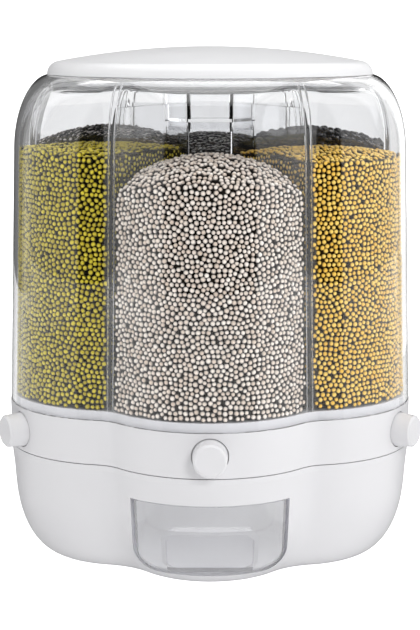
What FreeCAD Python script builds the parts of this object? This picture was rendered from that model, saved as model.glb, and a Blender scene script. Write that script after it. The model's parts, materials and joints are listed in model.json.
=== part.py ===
import FreeCAD, Part
import math
import os
import Sketcher

# A rotating grain dispenser. Six clear compartments turn as one carousel on a white base. Each has a push
# button on the ring, which slides a gate and lets the grain fall into the measuring cup in the base.
# Millimetres. Z is up, the cup faces -Y, and the origin is the middle of the underside.

DRIVING_SIZES = {
    # The lobed outline that the base, the ring and the clear shell share
    "lobe_offset": 60.3,
    "lobe_radius": 69.7,
    "groove_radius": 23.0,
    # Base bowl
    "foot_drop": 1.5,
    "foot_radius": 7.0,
    "foot_recess": 1.0,
    "foot_circle": 74.0,
    "bowl_height": 68.4,
    "bowl_straight": 3.2,
    "bowl_inset": 28.4,
    "bowl_taper": 1.2,
    "bowl_wall": 3.0,
    "bowl_floor": 3.0,
    "base_post_across": 59.4,
    "base_post_radius": 4.5,
    "base_post_drop": 12.0,
    "base_screw_land": 6.0,
    "base_screw_length": 12.0,
    "base_screw_radius": 2.0,
    "pilot_end": 1.0,
    # Base deck, pivot and track
    "deck_thickness": 3.0,
    "pivot_radius": 12.0,
    "pivot_clearance": 0.05,
    "pivot_rise": 10.0,
    "hub_wall": 5.0,
    "track_inner": 50.0,
    "track_width": 8.0,
    "track_depth": 1.0,
    "track_gap": 0.1,
    "washer_radius": 20.0,
    "washer_thickness": 1.6,
    "pivot_screw_radius": 2.5,
    "pivot_screw_length": 14.0,
    "pivot_head_radius": 5.0,
    "pivot_head_height": 2.5,
    # Measuring cup and its bay
    "cup_half_width": 43.6,
    "cup_foot_half_width": 42.6,
    "cup_corner": 13.0,
    "cup_lift": 8.5,
    "cup_height": 43.5,
    "cup_back": 38.0,
    "cup_wall": 2.2,
    "cup_side_gap": 2.1,
    "cup_top_gap": 0.6,
    "cup_under_gap": 1.2,
    "cup_back_gap": 1.5,
    "runner_width": 3.0,
    "runner_gap": 0.3,
    "bay_wall": 1.8,
    "grip_half_width": 28.5,
    "grip_height": 28.5,
    "grip_depth": 18.1,
    "grip_slant": 4.0,
    "grip_corner": 4.0,
    # Outlets and gates
    "outlet_length": 9.5,
    "outlet_half_width": 15.0,
    "outlet_spread": 0.5,
    "spout_wall": 1.5,
    "gate_thickness": 3.0,
    "gate_half_width": 19.0,
    "gate_lap": 4.5,
    "gate_bar": 7.2,
    "gate_gap": 0.3,
    "gate_side_gap": 0.3,
    "rail_width": 2.0,
    "rail_rise": 1.5,
    "button_travel": 10.5,
    # Ring and its buttons
    "seam_gap": 0.5,
    "ring_height": 26.0,
    "ring_flare": 0.4,
    "ring_wall": 2.5,
    "ring_shelf": 2.5,
    "ring_shelf_reach": 12.0,
    "under_plate_thickness": 2.0,
    "plate_edge_gap": 0.2,
    "button_height": 12.8,
    "button_foot_radius": 10.35,
    "button_face_radius": 9.6,
    "button_rim": 1.2,
    "button_proud": 11.0,
    "button_wall": 2.0,
    "button_gap": 0.3,
    "button_flange": 1.6,
    "button_flange_thickness": 2.0,
    "stem_radius": 3.0,
    "stem_root": 1.0,
    "seat_wall": 1.5,
    "stop_gap": 1.1,
    "seat_height": 20.0,
    "spring_radius": 6.5,
    "spring_wire": 1.4,
    "carousel_screw_inset": 11.88,
    "carousel_screw_radius": 2.0,
    "carousel_screw_length": 13.0,
    "carousel_post_radius": 5.0,
    "carousel_pad_height": 3.0,
    "screw_head_height": 1.6,
    "screw_head_radius": 3.5,
    "screw_gap": 0.2,
    # Storage shell
    "floor_thickness": 2.5,
    "floor_rim_height": 5.3,
    "floor_rim_wall": 2.0,
    "shell_wall": 2.5,
    "shell_straight": 150.6,
    "shell_draft": 4.5,
    "shoulder_rise": 44.5,
    "collar_wall": 2.3,
    "collar_overlap": 0.3,
    "mouth_radius": 97.5,
    "collar_depth": 7.2,
    "store_gap": 0.3,
    # Dividers and hub
    "hub_radius": 29.0,
    "hub_tube_wall": 2.0,
    "hub_tube_top": 162.8,
    "divider_thickness": 2.0,
    "divider_wall_top": 171.8,
    "divider_hub_top": 175.8,
    "hub_cup_rise": 20.0,
    "hub_cup_wall": 2.0,
    "hub_spigot": 6.0,
    # Lid
    "lid_gap": 0.3,
    "lid_rise": 16.7,
    "lid_edge_radius": 8.0,
    "lid_wall": 2.2,
    "plug_gap": 0.5,
    "plug_wall": 3.5,
    "plug_depth": 6.8,
    "plug_neck": 1.3,
    "gasket_height": 2.0,
    "gasket_groove": 1.5,
    "gasket_gap": 0.2,
    # Grain
    "heap_centre": 75.0,
    "heap_reach": 66.0,
}

# Peak of each heap above the floor plate, and the radius of its crown
GRAIN = {
    "front": (147.2, 85.0),
    "front_right": (148.7, 260.0),
    "back_right": (157.2, 200.0),
    "back": (152.2, 120.0),
    "back_left": (158.2, 260.0),
    "front_left": (150.7, 400.0),
}
SECTORS = list(GRAIN)
SECTOR_TURN = 60

# How full the bowl's curve is: 2 is an ellipse, more is squarer
BOWL_FULLNESS = 2.3

doc = FreeCAD.newDocument("GrainDispenser")
sheet = doc.addObject("Spreadsheet::Sheet", "Sizes")
for side, (peak, crown) in GRAIN.items():
    DRIVING_SIZES[f"heap_peak_{side}"] = peak
    DRIVING_SIZES[f"heap_crown_{side}"] = crown
for row, (word, number) in enumerate(DRIVING_SIZES.items(), start=1):
    sheet.set(f"A{row}", word)
    sheet.set(f"B{row}", str(number))
    sheet.setAlias(f"B{row}", word)
doc.recompute()

# Levels, worked out from the sizes as the stack goes up
BOWL_TOP = "(Sizes.foot_drop + Sizes.bowl_height)"
BOWL_FLOOR_TOP = "(Sizes.foot_drop + Sizes.bowl_floor)"
DECK_BOTTOM = f"({BOWL_TOP} - Sizes.deck_thickness)"
BASE_POST_TOP = f"({DECK_BOTTOM} - Sizes.base_post_drop)"
BASE_SCREW_SEAT = f"({BASE_POST_TOP} - Sizes.base_screw_land)"
RING_BOTTOM = f"({BOWL_TOP} + Sizes.seam_gap)"
UNDER_PLATE_TOP = f"({RING_BOTTOM} + Sizes.under_plate_thickness)"
RING_TOP = f"({RING_BOTTOM} + Sizes.ring_height)"
RING_SHELF_BOTTOM = f"({RING_TOP} - Sizes.ring_shelf)"
BUTTON_LEVEL = f"({RING_BOTTOM} + Sizes.button_height)"
GATE_BOTTOM = f"({BUTTON_LEVEL} - Sizes.gate_thickness / 2)"
GATE_TOP = f"({BUTTON_LEVEL} + Sizes.gate_thickness / 2)"
RAIL_TOP = f"({GATE_TOP} + Sizes.rail_rise)"
PIVOT_TOP = f"({BOWL_TOP} + Sizes.pivot_rise)"
FLOOR_TOP = f"({RING_TOP} + Sizes.floor_rim_height)"
SHOULDER = f"({RING_TOP} + Sizes.shell_straight)"
SHELL_TOP = f"({SHOULDER} + Sizes.shoulder_rise)"
COLLAR_BOTTOM = f"({SHELL_TOP} - Sizes.collar_depth)"
HUB_TUBE_TOP = f"({FLOOR_TOP} + Sizes.hub_tube_top)"
HUB_CUP_TOP = f"({HUB_TUBE_TOP} + Sizes.hub_cup_rise)"
LID_BOTTOM = f"({SHELL_TOP} + Sizes.lid_gap)"
CUP_BOTTOM = "(Sizes.foot_drop + Sizes.cup_lift)"
CUP_TOP = f"({CUP_BOTTOM} + Sizes.cup_height)"
BAY_BOTTOM = f"({CUP_BOTTOM} - Sizes.cup_under_gap)"
BAY_TOP = f"({CUP_TOP} + Sizes.cup_top_gap)"
BAY_BACK = "(Sizes.cup_back - Sizes.cup_back_gap)"

# Distances from the axis
APEX = "(Sizes.lobe_offset + Sizes.lobe_radius)"
OUTSIDE = f"({APEX} + 2 * Sizes.button_proud)"
GROOVE_CENTRE = (
    "(Sizes.lobe_offset * cos(30) + "
    "sqrt((Sizes.lobe_radius + Sizes.groove_radius)^2 - Sizes.lobe_offset^2 / 4))"
)
SCREW_CIRCLE = f"({GROOVE_CENTRE} - Sizes.groove_radius - Sizes.carousel_screw_inset)"
TRACK_OUTER = "(Sizes.track_inner + Sizes.track_width)"
BUTTON_FACE = f"({APEX} + Sizes.button_proud)"
BUTTON_FACE_BACK = f"({BUTTON_FACE} - Sizes.button_wall)"
FLANGE_RADIUS = "(Sizes.button_foot_radius + Sizes.button_flange)"
WALL_AT_FLANGE = (
    "(Sizes.lobe_offset + sqrt((Sizes.lobe_radius - Sizes.ring_wall)^2 - "
    f"{FLANGE_RADIUS}^2))"
)
FLANGE_FACE = f"({WALL_AT_FLANGE} - Sizes.button_gap)"
FLANGE_BACK = f"({FLANGE_FACE} - Sizes.button_flange_thickness)"
SEAT_FACE = f"({FLANGE_BACK} - Sizes.button_travel - Sizes.stop_gap)"
SEAT_BACK = f"({SEAT_FACE} - Sizes.seat_wall)"
GATE_OUTER_END = f"({SEAT_BACK} - Sizes.gate_gap)"
OUTLET_OUTER = f"({GATE_OUTER_END} - Sizes.gate_bar - Sizes.button_travel)"
OUTLET_INNER = f"({OUTLET_OUTER} - Sizes.outlet_length)"
GATE_INNER_END = f"({OUTLET_INNER} - Sizes.gate_lap)"
GUIDE_INNER_END = f"-({GATE_INNER_END} - Sizes.button_travel)"
COLLAR_RADIUS = "(Sizes.mouth_radius + Sizes.collar_wall)"
SHOULDER_INSET = f"({APEX} - Sizes.shell_draft - {COLLAR_RADIUS} + Sizes.collar_overlap)"
CHUTE_OUTSIDE = "(2 * Sizes.outlet_spread + Sizes.spout_wall)"
BASE_POSTS = [
    (f"{across}Sizes.base_post_across", f"{up}Sizes.base_post_across")
    for across in ("-", "")
    for up in ("-", "")
]


def value(expression):
    """The number that an expression on the sheet stands for."""
    result = sheet.evalExpression(expression)
    return float(getattr(result, "Value", result))


def origin_feature(body, role):
    return next(item for item in body.Origin.OriginFeatures if item.Role == role)


def new_body(label):
    body = doc.addObject("PartDesign::Body", label)
    body.Label = label
    return body


def turned_body(label, side):
    """A body modelled at the front and turned to its own sector."""
    body = new_body(label)
    body.Placement = sector_placement(side)
    return body


def sector_placement(side):
    turn = FreeCAD.Rotation(FreeCAD.Vector(0, 0, 1), SECTOR_TURN * SECTORS.index(side))
    return FreeCAD.Placement(FreeCAD.Vector(0, 0, 0), turn)


def sketch_on(body, name, role, offset, lift="0"):
    """A sketch on one of the body's own planes, offset along the plane's normal."""
    sketch = body.newObject("Sketcher::SketchObject", name)
    sketch.AttachmentSupport = [(origin_feature(body, role), "")]
    sketch.MapMode = "FlatFace"
    sketch.setExpression("AttachmentOffset.Base.z", offset)
    if lift != "0":
        sketch.setExpression("AttachmentOffset.Base.y", lift)
    return sketch


def add_rules(sketch, rules):
    """Adds pairs of a constraint and the expression that drives it, or None."""
    first = sketch.ConstraintCount
    sketch.addConstraint([rule for rule, _ in rules])
    for index, (_, expression) in enumerate(rules, start=first):
        if expression is not None:
            sketch.setExpression(f"Constraints[{index}]", expression)


def point_rules(geometry, vertex, across, up):
    """Holds a point at a place measured from the sketch's origin."""
    rules = []
    for kind, axis, expression in (("DistanceX", -2, across), ("DistanceY", -1, up)):
        distance = value(expression)
        if abs(distance) < 1e-9:
            rule = Sketcher.Constraint("PointOnObject", geometry, vertex, axis)
            rules.append((rule, None))
        elif distance > 0:
            rule = Sketcher.Constraint(kind, -1, 1, geometry, vertex, distance)
            rules.append((rule, expression))
        else:
            rule = Sketcher.Constraint(kind, geometry, vertex, -1, 1, -distance)
            rules.append((rule, f"-({expression})"))
    return rules


def polygon(body, name, role, offset, corners, lift="0"):
    """A closed polygon whose corners are pairs of expressions."""
    sketch = sketch_on(body, name, role, offset, lift)
    spots = [FreeCAD.Vector(value(across), value(up), 0) for across, up in corners]
    following = spots[1:] + spots[:1]
    sketch.addGeometry([Part.LineSegment(a, b) for a, b in zip(spots, following)], False)
    rules = []
    for index, (across, up) in enumerate(corners):
        after = (index + 1) % len(corners)
        rules.append((Sketcher.Constraint("Coincident", index, 2, after, 1), None))
        rules.extend(point_rules(index, 1, across, up))
    add_rules(sketch, rules)
    return sketch


def rectangle(body, name, role, offset, left, right, low, high, lift="0"):
    corners = [(left, low), (right, low), (right, high), (left, high)]
    return polygon(body, name, role, offset, corners, lift)


def circles(body, name, role, offset, rings, lift="0"):
    """Circles given as centre across, centre up and radius."""
    sketch = sketch_on(body, name, role, offset, lift)
    rules = []
    for index, (across, up, radius) in enumerate(rings):
        centre = FreeCAD.Vector(value(across), value(up), 0)
        sketch.addGeometry(Part.Circle(centre, FreeCAD.Vector(0, 0, 1), value(radius)), False)
        rules.extend(point_rules(index, 3, across, up))
        rules.append((Sketcher.Constraint("Radius", index, value(radius)), radius))
    add_rules(sketch, rules)
    return sketch


def hexagon(body, name, offset, radius):
    """A hexagon with one flat to the front."""
    corners = []
    for turn in range(0, 360, SECTOR_TURN):
        corners.append((f"{radius} * cos({turn})", f"{radius} * sin({turn})"))
    return polygon(body, name, "XY_Plane", offset, corners)


def lobed(body, name, inset, level):
    """The outline of six lobes and six grooves, moved inwards by inset."""
    sketch = sketch_on(body, name, "XY_Plane", level)
    offset = value("Sizes.lobe_offset")
    lobe = value(f"Sizes.lobe_radius - ({inset})")
    groove = value(f"Sizes.groove_radius + ({inset})")
    reach = offset * math.cos(math.pi / 6) + math.sqrt((lobe + groove) ** 2 - offset**2 / 4)
    up = FreeCAD.Vector(0, 0, 1)
    half_arc = math.atan2(reach / 2, reach * math.cos(math.pi / 6) - offset)
    arcs = []
    for index in range(6):
        front = math.radians(SECTOR_TURN * index - 90)
        centre = FreeCAD.Vector(offset * math.cos(front), offset * math.sin(front), 0)
        circle = Part.Circle(centre, up, lobe)
        arcs.append(Part.ArcOfCircle(circle, front - half_arc, front + half_arc))
    for index in range(6):
        between = math.radians(SECTOR_TURN * index - 60)
        centre = FreeCAD.Vector(reach * math.cos(between), reach * math.sin(between), 0)
        circle = Part.Circle(centre, up, groove)
        inward = between + math.pi
        spread = half_arc - math.pi / 6
        arcs.append(Part.ArcOfCircle(circle, inward - spread, inward + spread))
    sketch.addGeometry(arcs, False)
    rules = []
    for index in range(6):
        after = (index + 1) % 6
        rules.append((Sketcher.Constraint("Tangent", index, 2, 6 + index, 2), None))
        rules.append((Sketcher.Constraint("Tangent", 6 + index, 1, after, 1), None))
        turn = SECTOR_TURN * index - 90
        across = "0" if index % 3 == 0 else f"Sizes.lobe_offset * cos({turn})"
        rules.extend(point_rules(index, 3, across, f"Sizes.lobe_offset * sin({turn})"))
    rules.append((Sketcher.Constraint("Radius", 0, lobe), f"Sizes.lobe_radius - ({inset})"))
    rules.append((Sketcher.Constraint("Radius", 6, groove), f"Sizes.groove_radius + ({inset})"))
    for index in range(1, 6):
        rules.append((Sketcher.Constraint("Equal", 0, index), None))
        rules.append((Sketcher.Constraint("Equal", 6, 6 + index), None))
    add_rules(sketch, rules)
    return sketch


def tray_profile(body, name, offset, shape):
    """A flat-topped profile with two round lower corners."""
    top, foot, corner, low, high = shape
    sketch = sketch_on(body, name, "XZ_Plane", offset)
    half_top = value(top)
    radius = value(corner)
    centre_x = value(f"{foot} - {corner}")
    centre_z = value(f"{low} + {corner}")
    high_z = value(high)
    gap = math.hypot(half_top - centre_x, high_z - centre_z)
    lean = math.atan2(high_z - centre_z, half_top - centre_x) - math.acos(radius / gap)
    touch_x = centre_x + radius * math.cos(lean)
    touch_z = centre_z + radius * math.sin(lean)
    up = FreeCAD.Vector(0, 0, 1)
    left_circle = Part.Circle(FreeCAD.Vector(-centre_x, centre_z, 0), up, radius)
    right_circle = Part.Circle(FreeCAD.Vector(centre_x, centre_z, 0), up, radius)
    low_z = centre_z - radius
    sketch.addGeometry(
        [
            Part.LineSegment(FreeCAD.Vector(-half_top, high_z, 0), FreeCAD.Vector(-touch_x, touch_z, 0)),
            Part.ArcOfCircle(left_circle, math.pi - lean, 1.5 * math.pi),
            Part.LineSegment(FreeCAD.Vector(-centre_x, low_z, 0), FreeCAD.Vector(centre_x, low_z, 0)),
            Part.ArcOfCircle(right_circle, 1.5 * math.pi, 2 * math.pi + lean),
            Part.LineSegment(FreeCAD.Vector(touch_x, touch_z, 0), FreeCAD.Vector(half_top, high_z, 0)),
            Part.LineSegment(FreeCAD.Vector(half_top, high_z, 0), FreeCAD.Vector(-half_top, high_z, 0)),
        ],
        False,
    )
    rules = [
        (Sketcher.Constraint("Tangent", 0, 2, 1, 1), None),
        (Sketcher.Constraint("Tangent", 1, 2, 2, 1), None),
        (Sketcher.Constraint("Tangent", 2, 2, 3, 1), None),
        (Sketcher.Constraint("Tangent", 3, 2, 4, 1), None),
        (Sketcher.Constraint("Coincident", 4, 2, 5, 1), None),
        (Sketcher.Constraint("Coincident", 5, 2, 0, 1), None),
        (Sketcher.Constraint("Radius", 1, radius), corner),
        (Sketcher.Constraint("Equal", 1, 3), None),
    ]
    rules.extend(point_rules(0, 1, f"-({top})", high))
    rules.extend(point_rules(4, 2, top, high))
    rules.extend(point_rules(1, 3, f"-({foot} - {corner})", f"{low} + {corner}"))
    rules.append((Sketcher.Constraint("DistanceX", -1, 1, 3, 3, centre_x), f"{foot} - {corner}"))
    add_rules(sketch, rules)
    return sketch


def extrude(body, kind, name, sketch, length, back=False, both_ways=False):
    """A Pad or a Pocket with its length bound to the sheet."""
    feature = body.newObject(f"PartDesign::{kind}", name)
    feature.Profile = sketch
    feature.setExpression("Length", length)
    feature.Reversed = back
    if both_ways:
        feature.SideType = "Symmetric"
    return feature


def revolve(body, kind, name, sketch, axis):
    """A full turn of a sketch about one of its own axes."""
    feature = body.newObject(f"PartDesign::{kind}", name)
    feature.Profile = sketch
    feature.ReferenceAxis = (sketch, [axis])
    feature.Angle = 360
    return feature


def loft(body, kind, name, sections):
    feature = body.newObject(f"PartDesign::{kind}Loft", name)
    feature.Profile = sections[0]
    feature.Sections = sections[1:]
    feature.Ruled = len(sections) == 2
    return feature


def repeat_around(body, name, features, count=6):
    pattern = body.newObject("PartDesign::PolarPattern", name)
    pattern.Originals = features
    pattern.Axis = (origin_feature(body, "Z_Axis"), [""])
    pattern.Angle = 360
    pattern.Occurrences = count
    body.Tip = pattern
    return pattern


def combine(kind, label, base, tool):
    """A Part boolean of two objects."""
    result = doc.addObject(f"Part::{kind}", label)
    result.Label = label
    result.Base = base
    result.Tool = tool
    return result


def bowl_form(label, wall, floor):
    """The base bowl's rounded form, moved inwards by a wall and up by a floor."""
    body = new_body(label)
    fullness = 2 / BOWL_FULLNESS
    curve = f"({BOWL_TOP} - Sizes.bowl_straight - Sizes.foot_drop - {floor})"
    sections = [lobed(body, f"{label}_rim", wall, BOWL_TOP)]
    for angle in (0, 30, 54, 74, 90):
        drop = math.sin(math.radians(angle)) ** fullness
        pull = 1 - math.cos(math.radians(angle)) ** fullness if angle < 90 else 1
        inset = f"{wall} + Sizes.bowl_inset * {pull:.4f} + Sizes.bowl_taper * {drop:.4f}"
        level = f"{BOWL_TOP} - Sizes.bowl_straight - {curve} * {drop:.4f}"
        sections.append(lobed(body, f"{label}_at_{angle}", inset, level))
    loft(body, "Additive", f"{label}_straight", sections[:2])
    loft(body, "Additive", f"{label}_curve", sections[1:])
    return body


def shell_form(label, wall, roof, low):
    """The storage shell's form, moved inwards by a wall and down by a roof."""
    body = new_body(label)
    rise = f"(Sizes.shoulder_rise - {roof})"
    sections = [lobed(body, f"{label}_foot", wall, low)]
    for angle in (0, 28, 52, 73, 90):
        pull = 1 - math.cos(math.radians(angle))
        climb = math.sin(math.radians(angle))
        inset = f"{wall} + Sizes.shell_draft + {SHOULDER_INSET} * {pull:.4f}"
        level = f"{SHOULDER} + {rise} * {climb:.4f}"
        sections.append(lobed(body, f"{label}_at_{angle}", inset, level))
    loft(body, "Additive", f"{label}_side", sections[:2])
    loft(body, "Additive", f"{label}_shoulder", sections[1:])
    return body


def cup_shape(grow, under, over):
    """The cup's front profile, grown by a gap at its sides, below and above."""
    top = f"(Sizes.cup_half_width + {grow})"
    foot = f"(Sizes.cup_foot_half_width + {grow})"
    corner = f"(Sizes.cup_corner + {grow})"
    return top, foot, corner, f"({CUP_BOTTOM} - ({under}))", f"({CUP_TOP} + {over})"


def grip_block(label, grow):
    """The space of the finger grip under the cup's front, grown by a wall."""
    body = new_body(label)
    front = polygon_grip(body, f"{label}_front", OUTSIDE, "0", grow)
    depth = f"({APEX} - Sizes.grip_depth - {grow})"
    back = polygon_grip(body, f"{label}_back", depth, "Sizes.grip_slant", grow)
    loft(body, "Additive", f"{label}_block", [front, back])
    return body


def polygon_grip(body, name, offset, slant, grow):
    half = f"(Sizes.grip_half_width + {grow} - {slant})"
    top = f"({CUP_BOTTOM} + Sizes.grip_height + {grow} - {slant})"
    shoulder = f"({top} - Sizes.grip_corner)"
    inner = f"({half} - Sizes.grip_corner)"
    low = f"({CUP_BOTTOM} - Sizes.grip_corner)"
    corners = [
        (f"-{half}", low),
        (half, low),
        (half, shoulder),
        (inner, top),
        (f"-{inner}", top),
        (f"-{half}", shoulder),
    ]
    return polygon(body, name, "XZ_Plane", offset, corners)


def make_base_bowl(outer, cavity):
    """The bowl with its front opening, screw posts and foot recesses."""
    opening = new_body("bowl_opening")
    shape = cup_shape("Sizes.cup_side_gap", "Sizes.cup_under_gap", "Sizes.cup_top_gap")
    profile = tray_profile(opening, "bowl_opening_profile", OUTSIDE, shape)
    extrude(opening, "Pad", "bowl_opening_cut", profile, f"{OUTSIDE} - {BAY_BACK}", back=True)
    hollow = combine("Cut", "bowl_hollow", outer, cavity)
    open_bowl = combine("Cut", "bowl_open", hollow, opening)
    posts = new_body("bowl_posts")
    post_foot = f"({BOWL_FLOOR_TOP} - Sizes.bowl_floor / 2)"
    rings = [(x, y, "Sizes.base_post_radius") for x, y in BASE_POSTS]
    sketch = circles(posts, "bowl_posts_profile", "XY_Plane", post_foot, rings)
    extrude(posts, "Pad", "bowl_posts_pad", sketch, f"{BASE_POST_TOP} - {post_foot}")
    cuts = new_body("bowl_underside")
    heads = [(x, y, "Sizes.screw_head_radius") for x, y in BASE_POSTS]
    sketch = circles(cuts, "bowl_head_wells", "XY_Plane", "0", heads)
    extrude(cuts, "Pad", "bowl_head_well_cut", sketch, BASE_SCREW_SEAT)
    shanks = [(x, y, "Sizes.base_screw_radius + Sizes.screw_gap") for x, y in BASE_POSTS]
    sketch = circles(cuts, "bowl_shank_holes", "XY_Plane", "0", shanks)
    extrude(cuts, "Pad", "bowl_shank_hole_cut", sketch, f"{BASE_POST_TOP} + Sizes.screw_gap")
    foot = circles(
        cuts,
        "bowl_foot_seat",
        "XY_Plane",
        "0",
        [("0", "-Sizes.foot_circle", "Sizes.foot_radius + Sizes.screw_gap")],
    )
    seat = extrude(cuts, "Pad", "bowl_foot_seat_cut", foot, "Sizes.foot_drop + Sizes.foot_recess")
    repeat_around(cuts, "bowl_foot_seats", [seat])
    with_posts = combine("Fuse", "bowl_with_posts", open_bowl, posts)
    return combine("Cut", "base_bowl", with_posts, cuts)


def make_rubber_feet():
    body = new_body("rubber_feet")
    spot = [("0", "-Sizes.foot_circle", "Sizes.foot_radius")]
    sketch = circles(body, "foot_profile", "XY_Plane", "0", spot)
    foot = extrude(body, "Pad", "foot_pad", sketch, "Sizes.foot_drop + Sizes.foot_recess")
    repeat_around(body, "feet_around", [foot])
    return body


def make_base_deck():
    """The plate on top of the base: pivot post, track groove, one outlet, four screw bosses."""
    body = new_body("base_deck")
    outline = lobed(body, "deck_outline", "Sizes.bowl_wall + Sizes.plate_edge_gap", DECK_BOTTOM)
    extrude(body, "Pad", "deck_plate", outline, "Sizes.deck_thickness")
    post = circles(body, "pivot_profile", "XY_Plane", BOWL_TOP, [("0", "0", "Sizes.pivot_radius")])
    extrude(body, "Pad", "pivot_post", post, "Sizes.pivot_rise")
    bosses = [(x, y, "Sizes.base_post_radius") for x, y in BASE_POSTS]
    sketch = circles(body, "deck_boss_profile", "XY_Plane", DECK_BOTTOM, bosses)
    extrude(body, "Pad", "deck_bosses", sketch, "Sizes.base_post_drop", back=True)
    rings = [("0", "0", "Sizes.track_inner"), ("0", "0", TRACK_OUTER)]
    groove = circles(body, "track_profile", "XY_Plane", BOWL_TOP, rings)
    extrude(body, "Pocket", "track_groove", groove, "Sizes.track_depth")
    outlet = outlet_rectangle(body, "deck_outlet_profile", BOWL_TOP, "2 * Sizes.outlet_spread")
    extrude(body, "Pocket", "deck_outlet", outlet, "Sizes.deck_thickness")
    shank = circles(
        body,
        "pivot_bore_profile",
        "XY_Plane",
        PIVOT_TOP,
        [("0", "0", "Sizes.pivot_screw_radius")],
    )
    extrude(body, "Pocket", "pivot_bore", shank, "Sizes.pivot_screw_length")
    pilots = [(x, y, "Sizes.base_screw_radius") for x, y in BASE_POSTS]
    sketch = circles(body, "deck_pilot_profile", "XY_Plane", BASE_POST_TOP, pilots)
    extrude(body, "Pocket", "deck_pilots", sketch, "Sizes.base_post_drop - Sizes.pilot_end", back=True)
    return body


def outlet_rectangle(body, name, level, grow):
    """The outlet's place below the front compartment, grown by an amount all round."""
    half = f"(Sizes.outlet_half_width + {grow})"
    near = f"-({OUTLET_INNER} - ({grow}))"
    far = f"-({OUTLET_OUTER} + {grow})"
    return rectangle(body, name, "XY_Plane", level, f"-{half}", half, far, near)


def make_base_screws():
    """Four screws that hold the deck down on the bowl's posts."""
    body = new_body("base_screws")
    head_bottom = f"({BASE_SCREW_SEAT} - Sizes.screw_head_height)"
    heads = [(x, y, "Sizes.screw_head_radius - Sizes.screw_gap") for x, y in BASE_POSTS]
    sketch = circles(body, "base_screw_head_profile", "XY_Plane", head_bottom, heads)
    extrude(body, "Pad", "base_screw_heads", sketch, "Sizes.screw_head_height")
    shanks = [(x, y, "Sizes.base_screw_radius") for x, y in BASE_POSTS]
    sketch = circles(body, "base_screw_shank_profile", "XY_Plane", BASE_SCREW_SEAT, shanks)
    extrude(body, "Pad", "base_screw_shanks", sketch, "Sizes.base_screw_length")
    return body


def make_drawer_bay(cavity):
    """The tunnel behind the opening, which the cup slides in on two runners."""
    body = new_body("bay_block")
    outer = cup_shape(
        "Sizes.cup_side_gap + Sizes.bay_wall",
        "Sizes.cup_under_gap + Sizes.bay_wall",
        "Sizes.cup_top_gap + Sizes.bay_wall",
    )
    block = tray_profile(body, "bay_outer_profile", OUTSIDE, outer)
    extrude(body, "Pad", "bay_solid", block, f"{OUTSIDE} - {BAY_BACK} + Sizes.bay_wall", back=True)
    inner = cup_shape("Sizes.cup_side_gap", "Sizes.cup_under_gap", "Sizes.cup_top_gap")
    hole = tray_profile(body, "bay_inner_profile", OUTSIDE, inner)
    extrude(body, "Pocket", "bay_hollow", hole, f"{OUTSIDE} - {BAY_BACK}")
    runner_top = f"({CUP_BOTTOM} - Sizes.runner_gap)"
    for name, sign in (("left", "-"), ("right", "")):
        near = f"{sign}(Sizes.grip_half_width - Sizes.runner_width)"
        far = f"{sign}Sizes.grip_half_width"
        level = f"({BAY_BOTTOM} - Sizes.bay_wall / 2)"
        sketch = rectangle(body, f"runner_{name}", "XZ_Plane", BAY_BACK, near, far, level, runner_top)
        extrude(body, "Pad", f"runner_{name}_pad", sketch, f"{OUTSIDE} - {BAY_BACK}")
    size = f"{CHUTE_OUTSIDE} + Sizes.screw_gap"
    chute_hole = outlet_rectangle(body, "bay_chute_hole_profile", BAY_TOP, size)
    extrude(body, "Pocket", "bay_chute_hole", chute_hole, "2 * Sizes.bay_wall", both_ways=True)
    return combine("Common", "drawer_bay", body, cavity)


def make_chute():
    """The short duct from the deck's outlet to the cup."""
    body = new_body("chute")
    outer = outlet_rectangle(body, "chute_outer", BAY_TOP, CHUTE_OUTSIDE)
    extrude(body, "Pad", "chute_solid", outer, f"{DECK_BOTTOM} - {BAY_TOP}")
    rim = f"{CHUTE_OUTSIDE} + Sizes.spout_wall"
    flange = outlet_rectangle(body, "chute_flange_profile", DECK_BOTTOM, rim)
    extrude(body, "Pad", "chute_flange", flange, "Sizes.spout_wall", back=True)
    inner = outlet_rectangle(body, "chute_inner", DECK_BOTTOM, "2 * Sizes.outlet_spread")
    extrude(body, "Pocket", "chute_hollow", inner, f"{DECK_BOTTOM} - {BAY_TOP}")
    return body


def ring_body(label, bottom, height, inner, outer):
    """A plain round ring about the axis."""
    body = new_body(label)
    sketch = circles(body, f"{label}_profile", "XY_Plane", bottom, [("0", "0", inner), ("0", "0", outer)])
    extrude(body, "Pad", f"{label}_pad", sketch, height)
    return body


def make_slide_ring():
    bottom = f"({BOWL_TOP} - Sizes.track_depth)"
    height = "Sizes.track_depth + Sizes.seam_gap - Sizes.track_gap"
    inner = "Sizes.track_inner + Sizes.plate_edge_gap"
    outer = f"{TRACK_OUTER} - Sizes.plate_edge_gap"
    return ring_body("slide_ring", bottom, height, inner, outer)


def make_pivot_screw():
    body = new_body("pivot_screw")
    washer_top = f"({PIVOT_TOP} + Sizes.washer_thickness)"
    head_ring = [("0", "0", "Sizes.pivot_head_radius")]
    head = circles(body, "pivot_head_profile", "XY_Plane", washer_top, head_ring)
    extrude(body, "Pad", "pivot_head", head, "Sizes.pivot_head_height")
    shank_ring = [("0", "0", "Sizes.pivot_screw_radius")]
    shank = circles(body, "pivot_shank_profile", "XY_Plane", washer_top, shank_ring)
    extrude(body, "Pad", "pivot_shank", shank, "Sizes.pivot_screw_length", back=True)
    return body


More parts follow.
